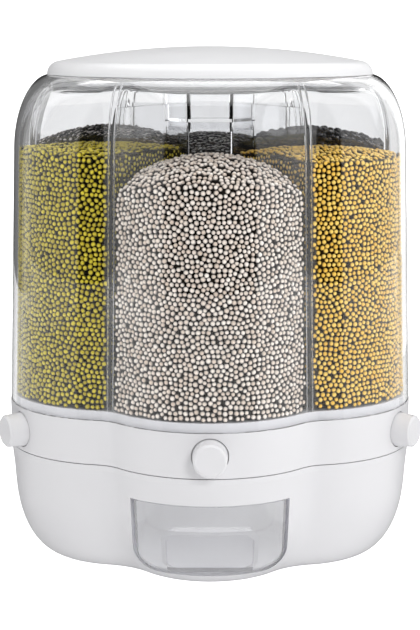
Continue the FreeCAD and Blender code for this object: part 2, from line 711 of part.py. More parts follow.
def make_measuring_cup(outer, cavity):
    """The cup: its front is the piece of the bowl's wall that the opening takes out."""
    block = new_body("cup_block")
    shape = cup_shape("0", "0", "0")
    profile = tray_profile(block, "cup_outer_profile", OUTSIDE, shape)
    extrude(block, "Pad", "cup_solid", profile, f"{OUTSIDE} - Sizes.cup_back", back=True)
    hollow = new_body("cup_hollow_block")
    inside = cup_shape("-Sizes.cup_wall", "-Sizes.cup_wall", "Sizes.cup_wall")
    profile = tray_profile(hollow, "cup_inner_profile", OUTSIDE, inside)
    length = f"{OUTSIDE} - Sizes.cup_back - Sizes.cup_wall"
    extrude(hollow, "Pad", "cup_hollow", profile, length, back=True)
    front = combine("Common", "cup_front_shape", block, outer)
    space = combine("Common", "cup_space_shape", hollow, cavity)
    grip_outside = grip_block("grip_cover", "Sizes.cup_wall")
    grip_inside = grip_block("grip_space", "0")
    inner_space = combine("Cut", "cup_inner_space", space, grip_outside)
    open_cup = combine("Cut", "cup_open", front, inner_space)
    return combine("Cut", "measuring_cup", open_cup, grip_inside)


def make_ring_housing():
    """The lobed ring: wall, top shelf, six button holes and six screw posts."""
    body = new_body("ring_housing")
    low = lobed(body, "ring_foot", "0", RING_BOTTOM)
    high = lobed(body, "ring_rim", "-Sizes.ring_flare", RING_TOP)
    loft(body, "Additive", "ring_solid", [low, high])
    inside = lobed(body, "ring_inside", "Sizes.ring_wall", RING_BOTTOM)
    height = "Sizes.ring_height - Sizes.ring_shelf"
    extrude(body, "Pocket", "ring_hollow", inside, height, back=True)
    through = lobed(body, "ring_shelf_edge", "Sizes.ring_shelf_reach", RING_TOP)
    extrude(body, "Pocket", "ring_shelf_hole", through, "2 * Sizes.ring_shelf")
    post = turned_circle(body, "ring_post_profile", RING_SHELF_BOTTOM, "Sizes.carousel_post_radius")
    drop = f"({RING_SHELF_BOTTOM} - {UNDER_PLATE_TOP} - Sizes.carousel_pad_height)"
    post_pad = extrude(body, "Pad", "ring_post", post, drop, back=True)
    repeat_around(body, "ring_posts", [post_pad])
    post_foot = f"{RING_SHELF_BOTTOM} - {drop}"
    bore = turned_circle(body, "ring_post_bore_profile", post_foot, "Sizes.carousel_screw_radius")
    bore_cut = extrude(body, "Pocket", "ring_post_bore", bore, f"{drop} - Sizes.pilot_end", back=True)
    repeat_around(body, "ring_post_bores", [bore_cut])
    hole = circles(
        body,
        "button_hole_profile",
        "XZ_Plane",
        OUTSIDE,
        [("0", BUTTON_LEVEL, "Sizes.button_foot_radius + Sizes.button_gap")],
    )
    hole_cut = extrude(body, "Pocket", "button_hole", hole, f"{OUTSIDE} - {FLANGE_FACE}")
    repeat_around(body, "button_holes", [hole_cut])
    return body


def turned_circle(body, name, level, radius):
    """A circle in the groove to the right of the front, on the screws' circle."""
    across = f"{SCREW_CIRCLE} * sin(30)"
    up = f"-{SCREW_CIRCLE} * cos(30)"
    return circles(body, name, "XY_Plane", level, [(across, up, radius)])


def make_under_plate():
    """The carousel's bottom plate, with its hub, six outlets and six screw pads."""
    body = new_body("under_plate")
    edge = "Sizes.ring_wall + Sizes.plate_edge_gap"
    outline = lobed(body, "under_plate_outline", edge, RING_BOTTOM)
    extrude(body, "Pad", "under_plate_solid", outline, "Sizes.under_plate_thickness")
    hub = circles(
        body,
        "hub_profile",
        "XY_Plane",
        RING_BOTTOM,
        [("0", "0", "Sizes.pivot_radius + Sizes.hub_wall")],
    )
    extrude(body, "Pad", "hub_solid", hub, f"{PIVOT_TOP} - {RING_BOTTOM} - Sizes.track_gap")
    bore = circles(
        body,
        "hub_bore_profile",
        "XY_Plane",
        RING_BOTTOM,
        [("0", "0", "Sizes.pivot_radius + Sizes.pivot_clearance")],
    )
    extrude(body, "Pocket", "hub_bore", bore, "2 * Sizes.pivot_rise", back=True)
    outlet = outlet_rectangle(body, "under_outlet_profile", RING_BOTTOM, "Sizes.outlet_spread")
    outlet_cut = extrude(body, "Pocket", "under_outlet", outlet, "Sizes.ring_height", back=True)
    repeat_around(body, "under_outlets", [outlet_cut])
    pad = turned_circle(body, "screw_pad_profile", UNDER_PLATE_TOP, "Sizes.carousel_post_radius")
    pad_solid = extrude(body, "Pad", "screw_pad", pad, "Sizes.carousel_pad_height")
    repeat_around(body, "screw_pads", [pad_solid])
    shank_size = "Sizes.carousel_screw_radius + Sizes.screw_gap"
    shank = turned_circle(body, "screw_hole_profile", RING_BOTTOM, shank_size)
    shank_depth = "Sizes.under_plate_thickness + Sizes.carousel_pad_height"
    shank_cut = extrude(body, "Pocket", "screw_hole", shank, shank_depth, back=True)
    well = turned_circle(body, "screw_well_profile", RING_BOTTOM, "Sizes.screw_head_radius")
    well_depth = "Sizes.screw_head_height + Sizes.screw_gap"
    well_cut = extrude(body, "Pocket", "screw_well", well, well_depth, back=True)
    repeat_around(body, "screw_holes", [shank_cut, well_cut])
    return body


def make_guide(side):
    """One gate's guide on the under plate: a bed round the outlet, two rails and the spring's seat."""
    body = turned_body(f"guide_{side}", side)
    near = "(Sizes.gate_half_width + Sizes.gate_side_gap)"
    far = f"({near} + Sizes.rail_width)"
    edge = "(Sizes.outlet_spread + Sizes.spout_wall)"
    seat_face = f"-{SEAT_FACE}"
    parts = [
        (
            "bed",
            f"-{far}",
            far,
            f"-({OUTLET_OUTER} + {edge})",
            f"-({OUTLET_INNER} - {edge})",
            f"({GATE_BOTTOM} - Sizes.gate_gap)",
        ),
        ("left_rail", f"-{far}", f"-{near}", seat_face, GUIDE_INNER_END, RAIL_TOP),
        ("right_rail", near, far, seat_face, GUIDE_INNER_END, RAIL_TOP),
        ("seat", f"-{far}", far, seat_face, f"-{SEAT_BACK}", f"({RING_BOTTOM} + Sizes.seat_height)"),
    ]
    for name, left, right, out, back, top in parts:
        label = f"guide_{side}_{name}"
        profile = rectangle(body, f"{label}_profile", "XY_Plane", UNDER_PLATE_TOP, left, right, out, back)
        extrude(body, "Pad", label, profile, f"{top} - {UNDER_PLATE_TOP}")
    label = f"guide_{side}_outlet"
    outlet = outlet_rectangle(body, f"{label}_profile", UNDER_PLATE_TOP, "Sizes.outlet_spread")
    extrude(body, "Pocket", label, outlet, "Sizes.ring_height", back=True)
    label = f"guide_{side}_stem_hole"
    stem_ring = [("0", BUTTON_LEVEL, "Sizes.stem_radius + Sizes.gate_gap")]
    stem = circles(body, f"{label}_profile", "XZ_Plane", SEAT_FACE, stem_ring)
    extrude(body, "Pocket", label, stem, "2 * Sizes.seat_wall", both_ways=True)
    return body


def make_carousel_screws():
    """Six screws up through the under plate into the ring's posts."""
    body = new_body("carousel_screws")
    level = f"{RING_BOTTOM} + Sizes.screw_gap"
    head_size = "Sizes.screw_head_radius - Sizes.screw_gap"
    head = turned_circle(body, "carousel_head_profile", level, head_size)
    head_pad = extrude(body, "Pad", "carousel_head", head, "Sizes.screw_head_height")
    shank = turned_circle(body, "carousel_shank_profile", level, "Sizes.carousel_screw_radius")
    shank_pad = extrude(body, "Pad", "carousel_shank", shank, "Sizes.carousel_screw_length")
    repeat_around(body, "carousel_screw_set", [head_pad, shank_pad])
    return body


def make_floor_plate():
    """The store's floor: a plate on a low rim, with six spouts."""
    body = new_body("floor_plate")
    edge = "Sizes.shell_wall + Sizes.store_gap"
    outline = lobed(body, "floor_outline", edge, RING_TOP)
    extrude(body, "Pad", "floor_solid", outline, "Sizes.floor_rim_height")
    inside = lobed(body, "floor_inside", f"{edge} + Sizes.floor_rim_wall", RING_TOP)
    depth = "Sizes.floor_rim_height - Sizes.floor_thickness"
    extrude(body, "Pocket", "floor_hollow", inside, depth, back=True)
    spout = outlet_rectangle(body, "spout_profile", FLOOR_TOP, "Sizes.spout_wall")
    drop = f"{FLOOR_TOP} - {GATE_TOP} - Sizes.gate_gap"
    spout_pad = extrude(body, "Pad", "spout", spout, drop, back=True)
    repeat_around(body, "spouts", [spout_pad])
    hole = outlet_rectangle(body, "spout_hole_profile", FLOOR_TOP, "0")
    hole_cut = extrude(body, "Pocket", "spout_hole", hole, f"2 * ({drop})")
    repeat_around(body, "spout_holes", [hole_cut])
    return body


def make_clear_shell():
    """The clear shell: lobed wall, rounded shoulder and round collar."""
    outer = shell_form("shell_outer", "0", "0", RING_TOP)
    inner = shell_form("shell_inner", "Sizes.shell_wall", "Sizes.shell_wall", RING_TOP)
    collar = new_body("shell_collar")
    ring = [("0", "0", COLLAR_RADIUS)]
    sketch = circles(collar, "collar_profile", "XY_Plane", COLLAR_BOTTOM, ring)
    extrude(collar, "Pad", "collar_solid", sketch, "Sizes.collar_depth")
    mouth = new_body("shell_mouth")
    ring = [("0", "0", "Sizes.mouth_radius")]
    sketch = circles(mouth, "mouth_profile", "XY_Plane", COLLAR_BOTTOM, ring)
    extrude(mouth, "Pad", "mouth_solid", sketch, "2 * Sizes.collar_depth")
    wall = combine("Cut", "shell_wall_shape", outer, inner)
    with_collar = combine("Fuse", "shell_with_collar", wall, collar)
    return combine("Cut", "clear_shell", with_collar, mouth)


def make_divider_core(store):
    """The hexagonal centre tube with six walls that run out to the grooves."""
    body = new_body("divider_block")
    tube = hexagon(body, "tube_outer", FLOOR_TOP, "Sizes.hub_radius")
    extrude(body, "Pad", "tube_solid", tube, "Sizes.hub_tube_top")
    inner = "Sizes.hub_radius - Sizes.hub_tube_wall / cos(30)"
    root = f"({inner} + Sizes.hub_tube_wall / 2)"
    free = "(Sizes.hub_radius + Sizes.store_gap)"
    wall_top = f"({FLOOR_TOP} + Sizes.divider_wall_top)"
    hub_top = f"({FLOOR_TOP} + Sizes.divider_hub_top)"
    corners = [
        (root, FLOOR_TOP),
        (APEX, FLOOR_TOP),
        (APEX, wall_top),
        (free, hub_top),
        (free, HUB_TUBE_TOP),
        (root, HUB_TUBE_TOP),
    ]
    fin = polygon(body, "divider_profile", "XZ_Plane", "0", corners)
    fin_pad = extrude(body, "Pad", "divider", fin, "Sizes.divider_thickness", both_ways=True)
    repeat_around(body, "dividers", [fin_pad])
    bore = hexagon(body, "tube_inner", FLOOR_TOP, f"({inner})")
    extrude(body, "Pocket", "tube_bore", bore, "Sizes.hub_tube_top", back=True)
    return combine("Common", "divider_core", body, store)


def make_hub_cup():
    """The clear hexagonal cup that plugs the centre tube."""
    body = new_body("hub_cup")
    outer = hexagon(body, "hub_cup_outer", HUB_TUBE_TOP, "Sizes.hub_radius")
    extrude(body, "Pad", "hub_cup_solid", outer, "Sizes.hub_cup_rise")
    bore = "(Sizes.hub_radius - Sizes.hub_tube_wall / cos(30) - Sizes.store_gap)"
    spigot = hexagon(body, "hub_spigot_outer", HUB_TUBE_TOP, bore)
    extrude(body, "Pad", "hub_spigot", spigot, "Sizes.hub_spigot", back=True)
    inner = f"({bore} - Sizes.hub_cup_wall / cos(30))"
    hollow = hexagon(body, "hub_cup_inner", HUB_CUP_TOP, inner)
    extrude(body, "Pocket", "hub_cup_hollow", hollow, "Sizes.hub_cup_rise - Sizes.hub_cup_wall")
    socket = hexagon(body, "hub_spigot_inner", f"{HUB_TUBE_TOP} - Sizes.hub_spigot", inner)
    extrude(body, "Pocket", "hub_spigot_hollow", socket, "Sizes.hub_spigot", back=True)
    return body


def make_lid_cover():
    """The lid: a wide low crown with a small round edge, the same wall all over, revolved."""
    body = new_body("lid_cover")
    sketch = sketch_on(body, "lid_profile", "XZ_Plane", "0")
    reach = value(COLLAR_RADIUS)
    low = value(LID_BOTTOM)
    rise = value("Sizes.lid_rise")
    edge = value("Sizes.lid_edge_radius")
    wall = value("Sizes.lid_wall")
    crown = ((reach - edge) ** 2 + rise**2 - edge**2) / (2 * (rise - edge))
    meet = math.atan2(crown - rise, reach - edge)
    up = FreeCAD.Vector(0, 0, 1)
    edge_centre = FreeCAD.Vector(reach - edge, low, 0)
    crown_centre = FreeCAD.Vector(0, low + rise - crown, 0)
    outer_edge = Part.Circle(edge_centre, up, edge)
    outer_crown = Part.Circle(crown_centre, up, crown)
    inner_crown = Part.Circle(crown_centre, up, crown - wall)
    inner_edge = Part.Circle(edge_centre, up, edge - wall)
    top = FreeCAD.Vector(0, low + rise, 0)
    under = FreeCAD.Vector(0, low + rise - wall, 0)
    sketch.addGeometry(
        [
            Part.ArcOfCircle(outer_edge, 0, meet),
            Part.ArcOfCircle(outer_crown, meet, math.pi / 2),
            Part.LineSegment(top, under),
            Part.ArcOfCircle(inner_crown, meet, math.pi / 2),
            Part.ArcOfCircle(inner_edge, 0, meet),
            Part.LineSegment(FreeCAD.Vector(reach - wall, low, 0), FreeCAD.Vector(reach, low, 0)),
        ],
        False,
    )
    rules = [
        (Sketcher.Constraint("Tangent", 0, 2, 1, 1), None),
        (Sketcher.Constraint("Coincident", 1, 2, 2, 1), None),
        (Sketcher.Constraint("Coincident", 2, 2, 3, 2), None),
        (Sketcher.Constraint("Tangent", 3, 1, 4, 2), None),
        (Sketcher.Constraint("Coincident", 4, 1, 5, 1), None),
        (Sketcher.Constraint("Coincident", 5, 2, 0, 1), None),
        (Sketcher.Constraint("Coincident", 4, 3, 0, 3), None),
        (Sketcher.Constraint("Coincident", 3, 3, 1, 3), None),
        (Sketcher.Constraint("PointOnObject", 1, 3, -2), None),
        (Sketcher.Constraint("PointOnObject", 2, 2, -2), None),
        (Sketcher.Constraint("Horizontal", 5), None),
        (Sketcher.Constraint("Radius", 0, edge), "Sizes.lid_edge_radius"),
        (Sketcher.Constraint("Distance", 5, 1, 5, 2, wall), "Sizes.lid_wall"),
    ]
    rules.extend(point_rules(0, 3, f"{COLLAR_RADIUS} - Sizes.lid_edge_radius", LID_BOTTOM))
    rules.extend(point_rules(1, 2, "0", f"{LID_BOTTOM} + Sizes.lid_rise"))
    rules.append((Sketcher.Constraint("DistanceY", -1, 1, 5, 2, low), LID_BOTTOM))
    add_rules(sketch, rules)
    revolve(body, "Revolution", "lid_dome", sketch, "V_Axis")
    return body


def make_lid_plug():
    """The clear ring under the lid that fits the shell's mouth."""
    body = new_body("lid_plug")
    outer = "(Sizes.mouth_radius - Sizes.plug_gap)"
    inner = f"({outer} - Sizes.plug_wall)"
    groove = f"({outer} - Sizes.gasket_groove)"
    neck = f"({COLLAR_RADIUS} - Sizes.lid_wall - Sizes.plug_neck)"
    low = f"({SHELL_TOP} - Sizes.plug_depth)"
    bend = "(Sizes.lid_edge_radius - Sizes.lid_wall)"
    rise = f"sqrt({bend}^2 - ({bend} - Sizes.plug_neck)^2)"
    high = f"({LID_BOTTOM} + {rise} - Sizes.store_gap)"
    groove_low = f"({low} + Sizes.gasket_height)"
    groove_high = f"({groove_low} + Sizes.gasket_height)"
    corners = [
        (inner, low),
        (outer, low),
        (outer, groove_low),
        (groove, groove_low),
        (groove, groove_high),
        (outer, groove_high),
        (outer, SHELL_TOP),
        (neck, SHELL_TOP),
        (neck, high),
        (inner, high),
    ]
    sketch = polygon(body, "plug_profile", "XZ_Plane", "0", corners)
    revolve(body, "Revolution", "plug_ring", sketch, "V_Axis")
    return body


def make_lid_gasket():
    bottom = f"({SHELL_TOP} - Sizes.plug_depth + Sizes.gasket_height)"
    inner = "Sizes.mouth_radius - Sizes.plug_gap - Sizes.gasket_groove"
    outer = "Sizes.mouth_radius - Sizes.gasket_gap"
    return ring_body("lid_gasket", bottom, "Sizes.gasket_height", inner, outer)


def make_button(side):
    """A hollow round cap with a flange that stops it behind the ring's wall."""
    body = turned_body(f"button_{side}", side)
    foot = "Sizes.button_foot_radius"
    bore = "(Sizes.button_face_radius - Sizes.button_wall)"
    corners = [
        (f"-{FLANGE_BACK}", bore),
        (f"-{FLANGE_BACK}", FLANGE_RADIUS),
        (f"-{FLANGE_FACE}", FLANGE_RADIUS),
        (f"-{FLANGE_FACE}", foot),
        (f"-({BUTTON_FACE} - Sizes.button_rim)", "Sizes.button_face_radius"),
        (f"-{BUTTON_FACE}", "Sizes.button_face_radius - Sizes.button_rim"),
        (f"-{BUTTON_FACE}", "0"),
        (f"-{BUTTON_FACE_BACK}", "0"),
        (f"-{BUTTON_FACE_BACK}", bore),
    ]
    profile = polygon(body, f"button_{side}_profile", "YZ_Plane", "0", corners, BUTTON_LEVEL)
    revolve(body, "Revolution", f"button_{side}_cap", profile, "H_Axis")
    low = f"({UNDER_PLATE_TOP} + Sizes.button_gap)"
    high = f"({RING_SHELF_BOTTOM} - Sizes.button_gap)"
    wide = f"(2 * {FLANGE_RADIUS})"
    flats = [("low", f"{BUTTON_LEVEL} - {wide}", low), ("high", high, f"{BUTTON_LEVEL} + {wide}")]
    for name, near, far in flats:
        label = f"button_{side}_{name}"
        flat = rectangle(body, label, "XZ_Plane", FLANGE_FACE, f"-{wide}", wide, near, far)
        extrude(body, "Pocket", f"{label}_flat", flat, "2 * Sizes.button_flange_thickness")
    return body


def make_gate(side):
    """A sliding plate with a window, and the stem that the button pushes."""
    body = turned_body(f"gate_{side}", side)
    half = "Sizes.gate_half_width"
    plate = rectangle(
        body,
        f"gate_{side}_plate_profile",
        "XY_Plane",
        GATE_BOTTOM,
        f"-{half}",
        half,
        f"-{GATE_OUTER_END}",
        f"-{GATE_INNER_END}",
    )
    extrude(body, "Pad", f"gate_{side}_plate", plate, "Sizes.gate_thickness")
    far = f"-({OUTLET_OUTER} + Sizes.button_travel)"
    near = f"-({OUTLET_INNER} + Sizes.button_travel)"
    width = "Sizes.outlet_half_width"
    label = f"gate_{side}_window_profile"
    window = rectangle(body, label, "XY_Plane", GATE_TOP, f"-{width}", width, far, near)
    extrude(body, "Pocket", f"gate_{side}_window", window, "Sizes.gate_thickness")
    stem = circles(
        body,
        f"gate_{side}_stem_profile",
        "XZ_Plane",
        f"{GATE_OUTER_END} - Sizes.stem_root",
        [("0", BUTTON_LEVEL, "Sizes.stem_radius")],
    )
    reach = f"{BUTTON_FACE_BACK} - {GATE_OUTER_END} + Sizes.stem_root"
    extrude(body, "Pad", f"gate_{side}_stem", stem, reach)
    return body


def make_spring(side):
    """The spring's sleeve, round the stem from the seat to the button's face."""
    body = turned_body(f"spring_{side}", side)
    inner = "Sizes.spring_radius - Sizes.spring_wire"
    rings = [("0", BUTTON_LEVEL, inner), ("0", BUTTON_LEVEL, "Sizes.spring_radius")]
    sketch = circles(body, f"spring_{side}_profile", "XZ_Plane", SEAT_FACE, rings)
    extrude(body, "Pad", f"spring_{side}_sleeve", sketch, f"{BUTTON_FACE_BACK} - {SEAT_FACE}")
    return body


def make_grain(side, store):
    """The grain in one compartment, with the crown of its heap."""
    inset = "((Sizes.divider_thickness / 2 + Sizes.store_gap) / cos(30))"
    near = "(Sizes.hub_radius * cos(30) + Sizes.store_gap)"
    wedge = new_body(f"wedge_{side}")
    level = f"({FLOOR_TOP} + Sizes.store_gap)"
    corners = [
        (f"-({near} * tan(30) - {inset})", f"-{near}"),
        (f"-({APEX} * tan(30) - {inset})", f"-{APEX}"),
        (f"{APEX} * tan(30) - {inset}", f"-{APEX}"),
        (f"{near} * tan(30) - {inset}", f"-{near}"),
    ]
    sketch = polygon(wedge, f"wedge_{side}_profile", "XY_Plane", level, corners)
    extrude(wedge, "Pad", f"wedge_{side}_pad", sketch, f"Sizes.heap_peak_{side}")
    heap = make_heap(side, level)
    grain = doc.addObject("Part::MultiCommon", f"grain_{side}")
    grain.Label = f"grain_{side}"
    grain.Shapes = [wedge, store, heap]
    grain.Placement = sector_placement(side)
    return grain


def make_heap(side, level):
    """A round column with a crowned top, about the middle of a compartment."""
    body = new_body(f"heap_{side}")
    sketch = sketch_on(body, f"heap_{side}_profile", "XZ_Plane", "Sizes.heap_centre")
    crown = f"Sizes.heap_crown_{side}"
    peak = f"({FLOOR_TOP} + Sizes.heap_peak_{side})"
    reach = value("Sizes.heap_reach")
    low = value(level)
    top = value(peak)
    radius = value(crown)
    centre = FreeCAD.Vector(0, top - radius, 0)
    edge = top - radius + math.sqrt(radius**2 - reach**2)
    circle = Part.Circle(centre, FreeCAD.Vector(0, 0, 1), radius)
    start = math.asin(math.sqrt(radius**2 - reach**2) / radius)
    sketch.addGeometry(
        [
            Part.LineSegment(FreeCAD.Vector(0, low, 0), FreeCAD.Vector(reach, low, 0)),
            Part.LineSegment(FreeCAD.Vector(reach, low, 0), FreeCAD.Vector(reach, edge, 0)),
            Part.ArcOfCircle(circle, start, math.pi / 2),
            Part.LineSegment(FreeCAD.Vector(0, top, 0), FreeCAD.Vector(0, low, 0)),
        ],
        False,
    )
    rules = [
        (Sketcher.Constraint("Coincident", 0, 2, 1, 1), None),
        (Sketcher.Constraint("Coincident", 1, 2, 2, 1), None),
        (Sketcher.Constraint("Coincident", 2, 2, 3, 1), None),
        (Sketcher.Constraint("Coincident", 3, 2, 0, 1), None),
        (Sketcher.Constraint("Vertical", 1), None),
        (Sketcher.Constraint("PointOnObject", 2, 3, -2), None),
        (Sketcher.Constraint("Radius", 2, radius), crown),
    ]
    rules.extend(point_rules(0, 1, "0", level))
    rules.extend(point_rules(0, 2, "Sizes.heap_reach", level))
    rules.extend(point_rules(3, 1, "0", peak))
    add_rules(sketch, rules)
    revolve(body, "Revolution", f"heap_{side}_solid", sketch, "V_Axis")
    return body


bowl_outer = bowl_form("bowl_outer", "0", "0")
bowl_cavity = bowl_form("bowl_cavity", "Sizes.bowl_wall", "Sizes.bowl_floor")
store_space = shell_form(
    "store_space",
    "Sizes.shell_wall + Sizes.store_gap",
    "Sizes.shell_wall + Sizes.store_gap",
    FLOOR_TOP,
)

pieces = [
    make_base_bowl(bowl_outer, bowl_cavity),
    make_base_deck(),
    make_drawer_bay(bowl_cavity),
    make_chute(),
    make_slide_ring(),
    make_rubber_feet(),
    make_base_screws(),
    ring_body(
        "pivot_washer",
        PIVOT_TOP,
        "Sizes.washer_thickness",
        "Sizes.pivot_screw_radius",
        "Sizes.washer_radius",
    ),
    make_pivot_screw(),
    make_measuring_cup(bowl_outer, bowl_cavity),
    make_ring_housing(),
    make_under_plate(),
    make_carousel_screws(),
    make_floor_plate(),
    make_clear_shell(),
    make_divider_core(store_space),
    make_hub_cup(),
    make_lid_cover(),
    make_lid_plug(),
    make_lid_gasket(),
]
for side in SECTORS:
    pieces.append(make_guide(side))
    pieces.append(make_button(side))
    pieces.append(make_gate(side))
    pieces.append(make_spring(side))
    pieces.append(make_grain(side, store_space))

doc.recompute()

for item in doc.Objects:
    if "Invalid" in item.State or "Error" in item.State:
        raise RuntimeError(f"{item.Label} failed: {item.State}")

os.makedirs("parts", exist_ok=True)
for piece in pieces:
    if piece.Shape.isNull() or not piece.Shape.isValid():
        raise RuntimeError(f"{piece.Label} has no valid shape")
for piece in pieces:
    piece.Shape.exportStep(f"parts/{piece.Label}.step")
    box = piece.Shape.BoundBox
    print(
        f"{piece.Label}: {len(piece.Shape.Solids)} solid, {piece.Shape.Volume:.0f} mm3, "
        f"z {box.ZMin:.1f} to {box.ZMax:.1f}"
    )
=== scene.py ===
import json
import math
import random

import bmesh
import bpy
from bpy.props import FloatProperty, FloatVectorProperty, IntProperty, PointerProperty
from mathutils import Matrix, Vector, kdtree


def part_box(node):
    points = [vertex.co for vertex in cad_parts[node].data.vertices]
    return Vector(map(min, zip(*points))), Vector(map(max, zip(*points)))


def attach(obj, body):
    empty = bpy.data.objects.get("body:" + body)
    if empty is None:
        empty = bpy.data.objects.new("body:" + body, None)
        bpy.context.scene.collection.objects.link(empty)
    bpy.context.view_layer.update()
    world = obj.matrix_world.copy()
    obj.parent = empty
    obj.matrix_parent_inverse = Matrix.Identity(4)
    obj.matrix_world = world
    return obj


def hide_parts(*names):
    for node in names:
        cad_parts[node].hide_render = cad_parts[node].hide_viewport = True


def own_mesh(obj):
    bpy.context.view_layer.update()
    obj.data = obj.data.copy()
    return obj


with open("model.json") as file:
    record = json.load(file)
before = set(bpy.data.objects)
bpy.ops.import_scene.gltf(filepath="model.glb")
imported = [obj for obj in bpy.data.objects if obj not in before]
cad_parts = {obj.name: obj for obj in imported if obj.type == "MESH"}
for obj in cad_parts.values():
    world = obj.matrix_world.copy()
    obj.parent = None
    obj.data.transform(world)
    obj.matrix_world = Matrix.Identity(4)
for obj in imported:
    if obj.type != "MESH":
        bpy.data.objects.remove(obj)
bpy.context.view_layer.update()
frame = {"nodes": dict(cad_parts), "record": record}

bl_info = {
    "name": "Grain Dispenser",
    "version": (1, 0, 0),
    "blender": (4, 5, 0),
    "location": "3D View > Sidebar > Dispenser",
    "description": "Fills and finishes a rotating grain dispenser and sets up its studio",
    "category": "Object",
}

SECTORS = ("front", "front_right", "back_right", "back", "back_left", "front_left")
SECTOR = math.radians(60)
PLASTIC_IOR = 1.49


# Sizes and colours that a user would change


def length(name, description, default):
    return FloatProperty(
        name=name, description=description, default=default, unit="LENGTH", subtype="DISTANCE"
    )


def power(name, description, default):
    return FloatProperty(name=name, description=description, default=default, min=0, unit="POWER")


def colour(name, description, default):
    return FloatVectorProperty(
        name=name, description=description, default=default, size=3, min=0, max=1, subtype="COLOR"
    )


class DispenserSizes(bpy.types.PropertyGroup):
    lobe_offset: length("Lobe offset", "From the axis to the middle of a lobe", 0.0603)
    lobe_radius: length("Lobe radius", "Radius of the six lobes", 0.0697)
    groove_radius: length("Groove radius", "Radius of the six grooves", 0.023)
    wall: length("Clear wall", "Thickness of the clear shell", 0.0025)
    store_gap: length("Store gap", "Clearance inside the shell and at the dividers", 0.0003)
    divider: length("Divider", "Thickness of a dividing wall", 0.002)
    foot_level: length("Shell foot", "Height of the clear shell's foot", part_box("clear_shell")[0].z)
    shoulder_level: length("Shoulder", "Height where the shell starts to round in", 0.247)
    shoulder_rise: length("Shoulder rise", "Height of the rounded shoulder", 0.0445)
    neck: length("Neck", "Outer radius of the shell's top", 0.0998)
    mouth: length("Mouth", "Radius of the shell's opening", 0.0975)
    draft: length("Draft", "How far the shell draws in from its foot to the shoulder", 0.0045)
    rib: length("Guide rib", "Thickness of the ribs that hold the dividers", 0.0010)
    hub_radius: length("Hub radius", "From the axis to a corner of the centre tube", 0.029)
    heap_centre: length("Heap centre", "From the axis to the top of each heap", 0.075)
    heap_reach: length("Heap reach", "Radius of each heap", 0.066)


class GrainLooks(bpy.types.PropertyGroup):
    pale_seed: length("Pale seed", "Diameter of the pale round seeds", 0.00315)
    pale_light: colour("Pale seed light", "Colour of the lighter pale seeds", (1.0, 0.93, 0.85))
    pale_dark: colour("Pale seed dark", "Colour of the darker pale seeds", (0.70, 0.57, 0.46))
    yellow_seed: length("Yellow seed", "Diameter of the yellow round seeds", 0.0032)
    yellow_light: colour("Yellow seed light", "Colour of the lighter yellow seeds", (1.0, 0.72, 0.17))
    yellow_dark: colour("Yellow seed dark", "Colour of the darker yellow seeds", (0.88, 0.49, 0.04))
    green_seed: length("Green bean", "Length of the green beans", 0.0034)
    green_light: colour("Green bean light", "Colour of the lighter green beans", (0.76, 0.63, 0.04))
    green_dark: colour("Green bean dark", "Colour of the darker green beans", (0.40, 0.31, 0.012))
    black_seed: length("Black bean", "Length of the black beans", 0.0062)
    black_light: colour("Black bean light", "Colour of the lighter black beans", (0.060, 0.055, 0.060))
    black_dark: colour("Black bean dark", "Colour of the darker black beans", (0.008, 0.008, 0.010))
    rice_seed: length("Rice", "Length of the rice grains", 0.0052)
    rice_light: colour("Rice light", "Colour of the lighter rice grains", (0.82, 0.81, 0.77))
    rice_dark: colour("Rice dark", "Colour of the darker rice grains", (0.62, 0.61, 0.57))
    mixed_seed: length("Mixed seed", "Length of the mixed dark seeds", 0.0042)
    mixed_light: colour("Mixed seed light", "Colour of the pale seeds in the mix", (0.85, 0.78, 0.72))
    mixed_dark: colour("Mixed seed dark", "Colour of the dark seeds in the mix", (0.045, 0.035, 0.03))
    scatter: IntProperty(name="Scatter", description="Seed of the scattered places", default=7, min=0)


class PlasticLooks(bpy.types.PropertyGroup):
    white: colour("White plastic", "Colour of the white mouldings", (0.65, 0.647, 0.664))
    lid_white: colour("Lid plastic", "Colour of the lid", (0.70, 0.70, 0.71))
    # The hidden mouldings are whiter than the outer white: painted light that makes up for the shade inside
    # the base and the drawer bay.
    lightened_inner_white: colour("Inner plastic", "Colour of the hidden white mouldings", (0.85, 0.85, 0.86))
    clear: colour("Clear plastic", "Tint of the clear mouldings", (0.99, 0.993, 1.0))
    smoke: colour("Smoky plastic", "Tint of the measuring cup", (0.955, 0.955, 0.965))
    rubber: colour("Rubber", "Colour of the feet", (0.28, 0.28, 0.29))
    seal: colour("Seal", "Colour of the lid's seal", (0.42, 0.42, 0.43))
    steel: colour("Steel", "Colour of the screws and springs", (0.55, 0.55, 0.57))


class StudioSettings(bpy.types.PropertyGroup):
    key: power("Right softbox", "Power of the right softbox", 10.3)
    fill: power("Left softbox", "Power of the left softbox", 9.0)
    top: power("Top softbox", "Power of the softbox above", 24)
    front: power("Front softbox", "Power of the raised front softbox", 9.0)
    rim: power("Rim softbox", "Power of the softbox behind, on the right", 2.7)
    around: FloatProperty(
        name="Surroundings", description="Brightness of the surroundings", default=0.06, min=0
    )
    lens: FloatProperty(
        name="Lens", description="Focal length of the camera", default=93.4, min=1, unit="CAMERA"
    )


def sizes():
    return bpy.context.scene.dispenser_sizes


def grains():
    return bpy.context.scene.grain_looks


def plastics():
    return bpy.context.scene.plastic_looks


def studio():
    return bpy.context.scene.studio_settings


# Shader groups and materials


def add_node(tree, kind, place, **settings):
    node = tree.nodes.new(kind)
    node.location = place
    for name, value in settings.items():
        setattr(node, name, value)
    return node


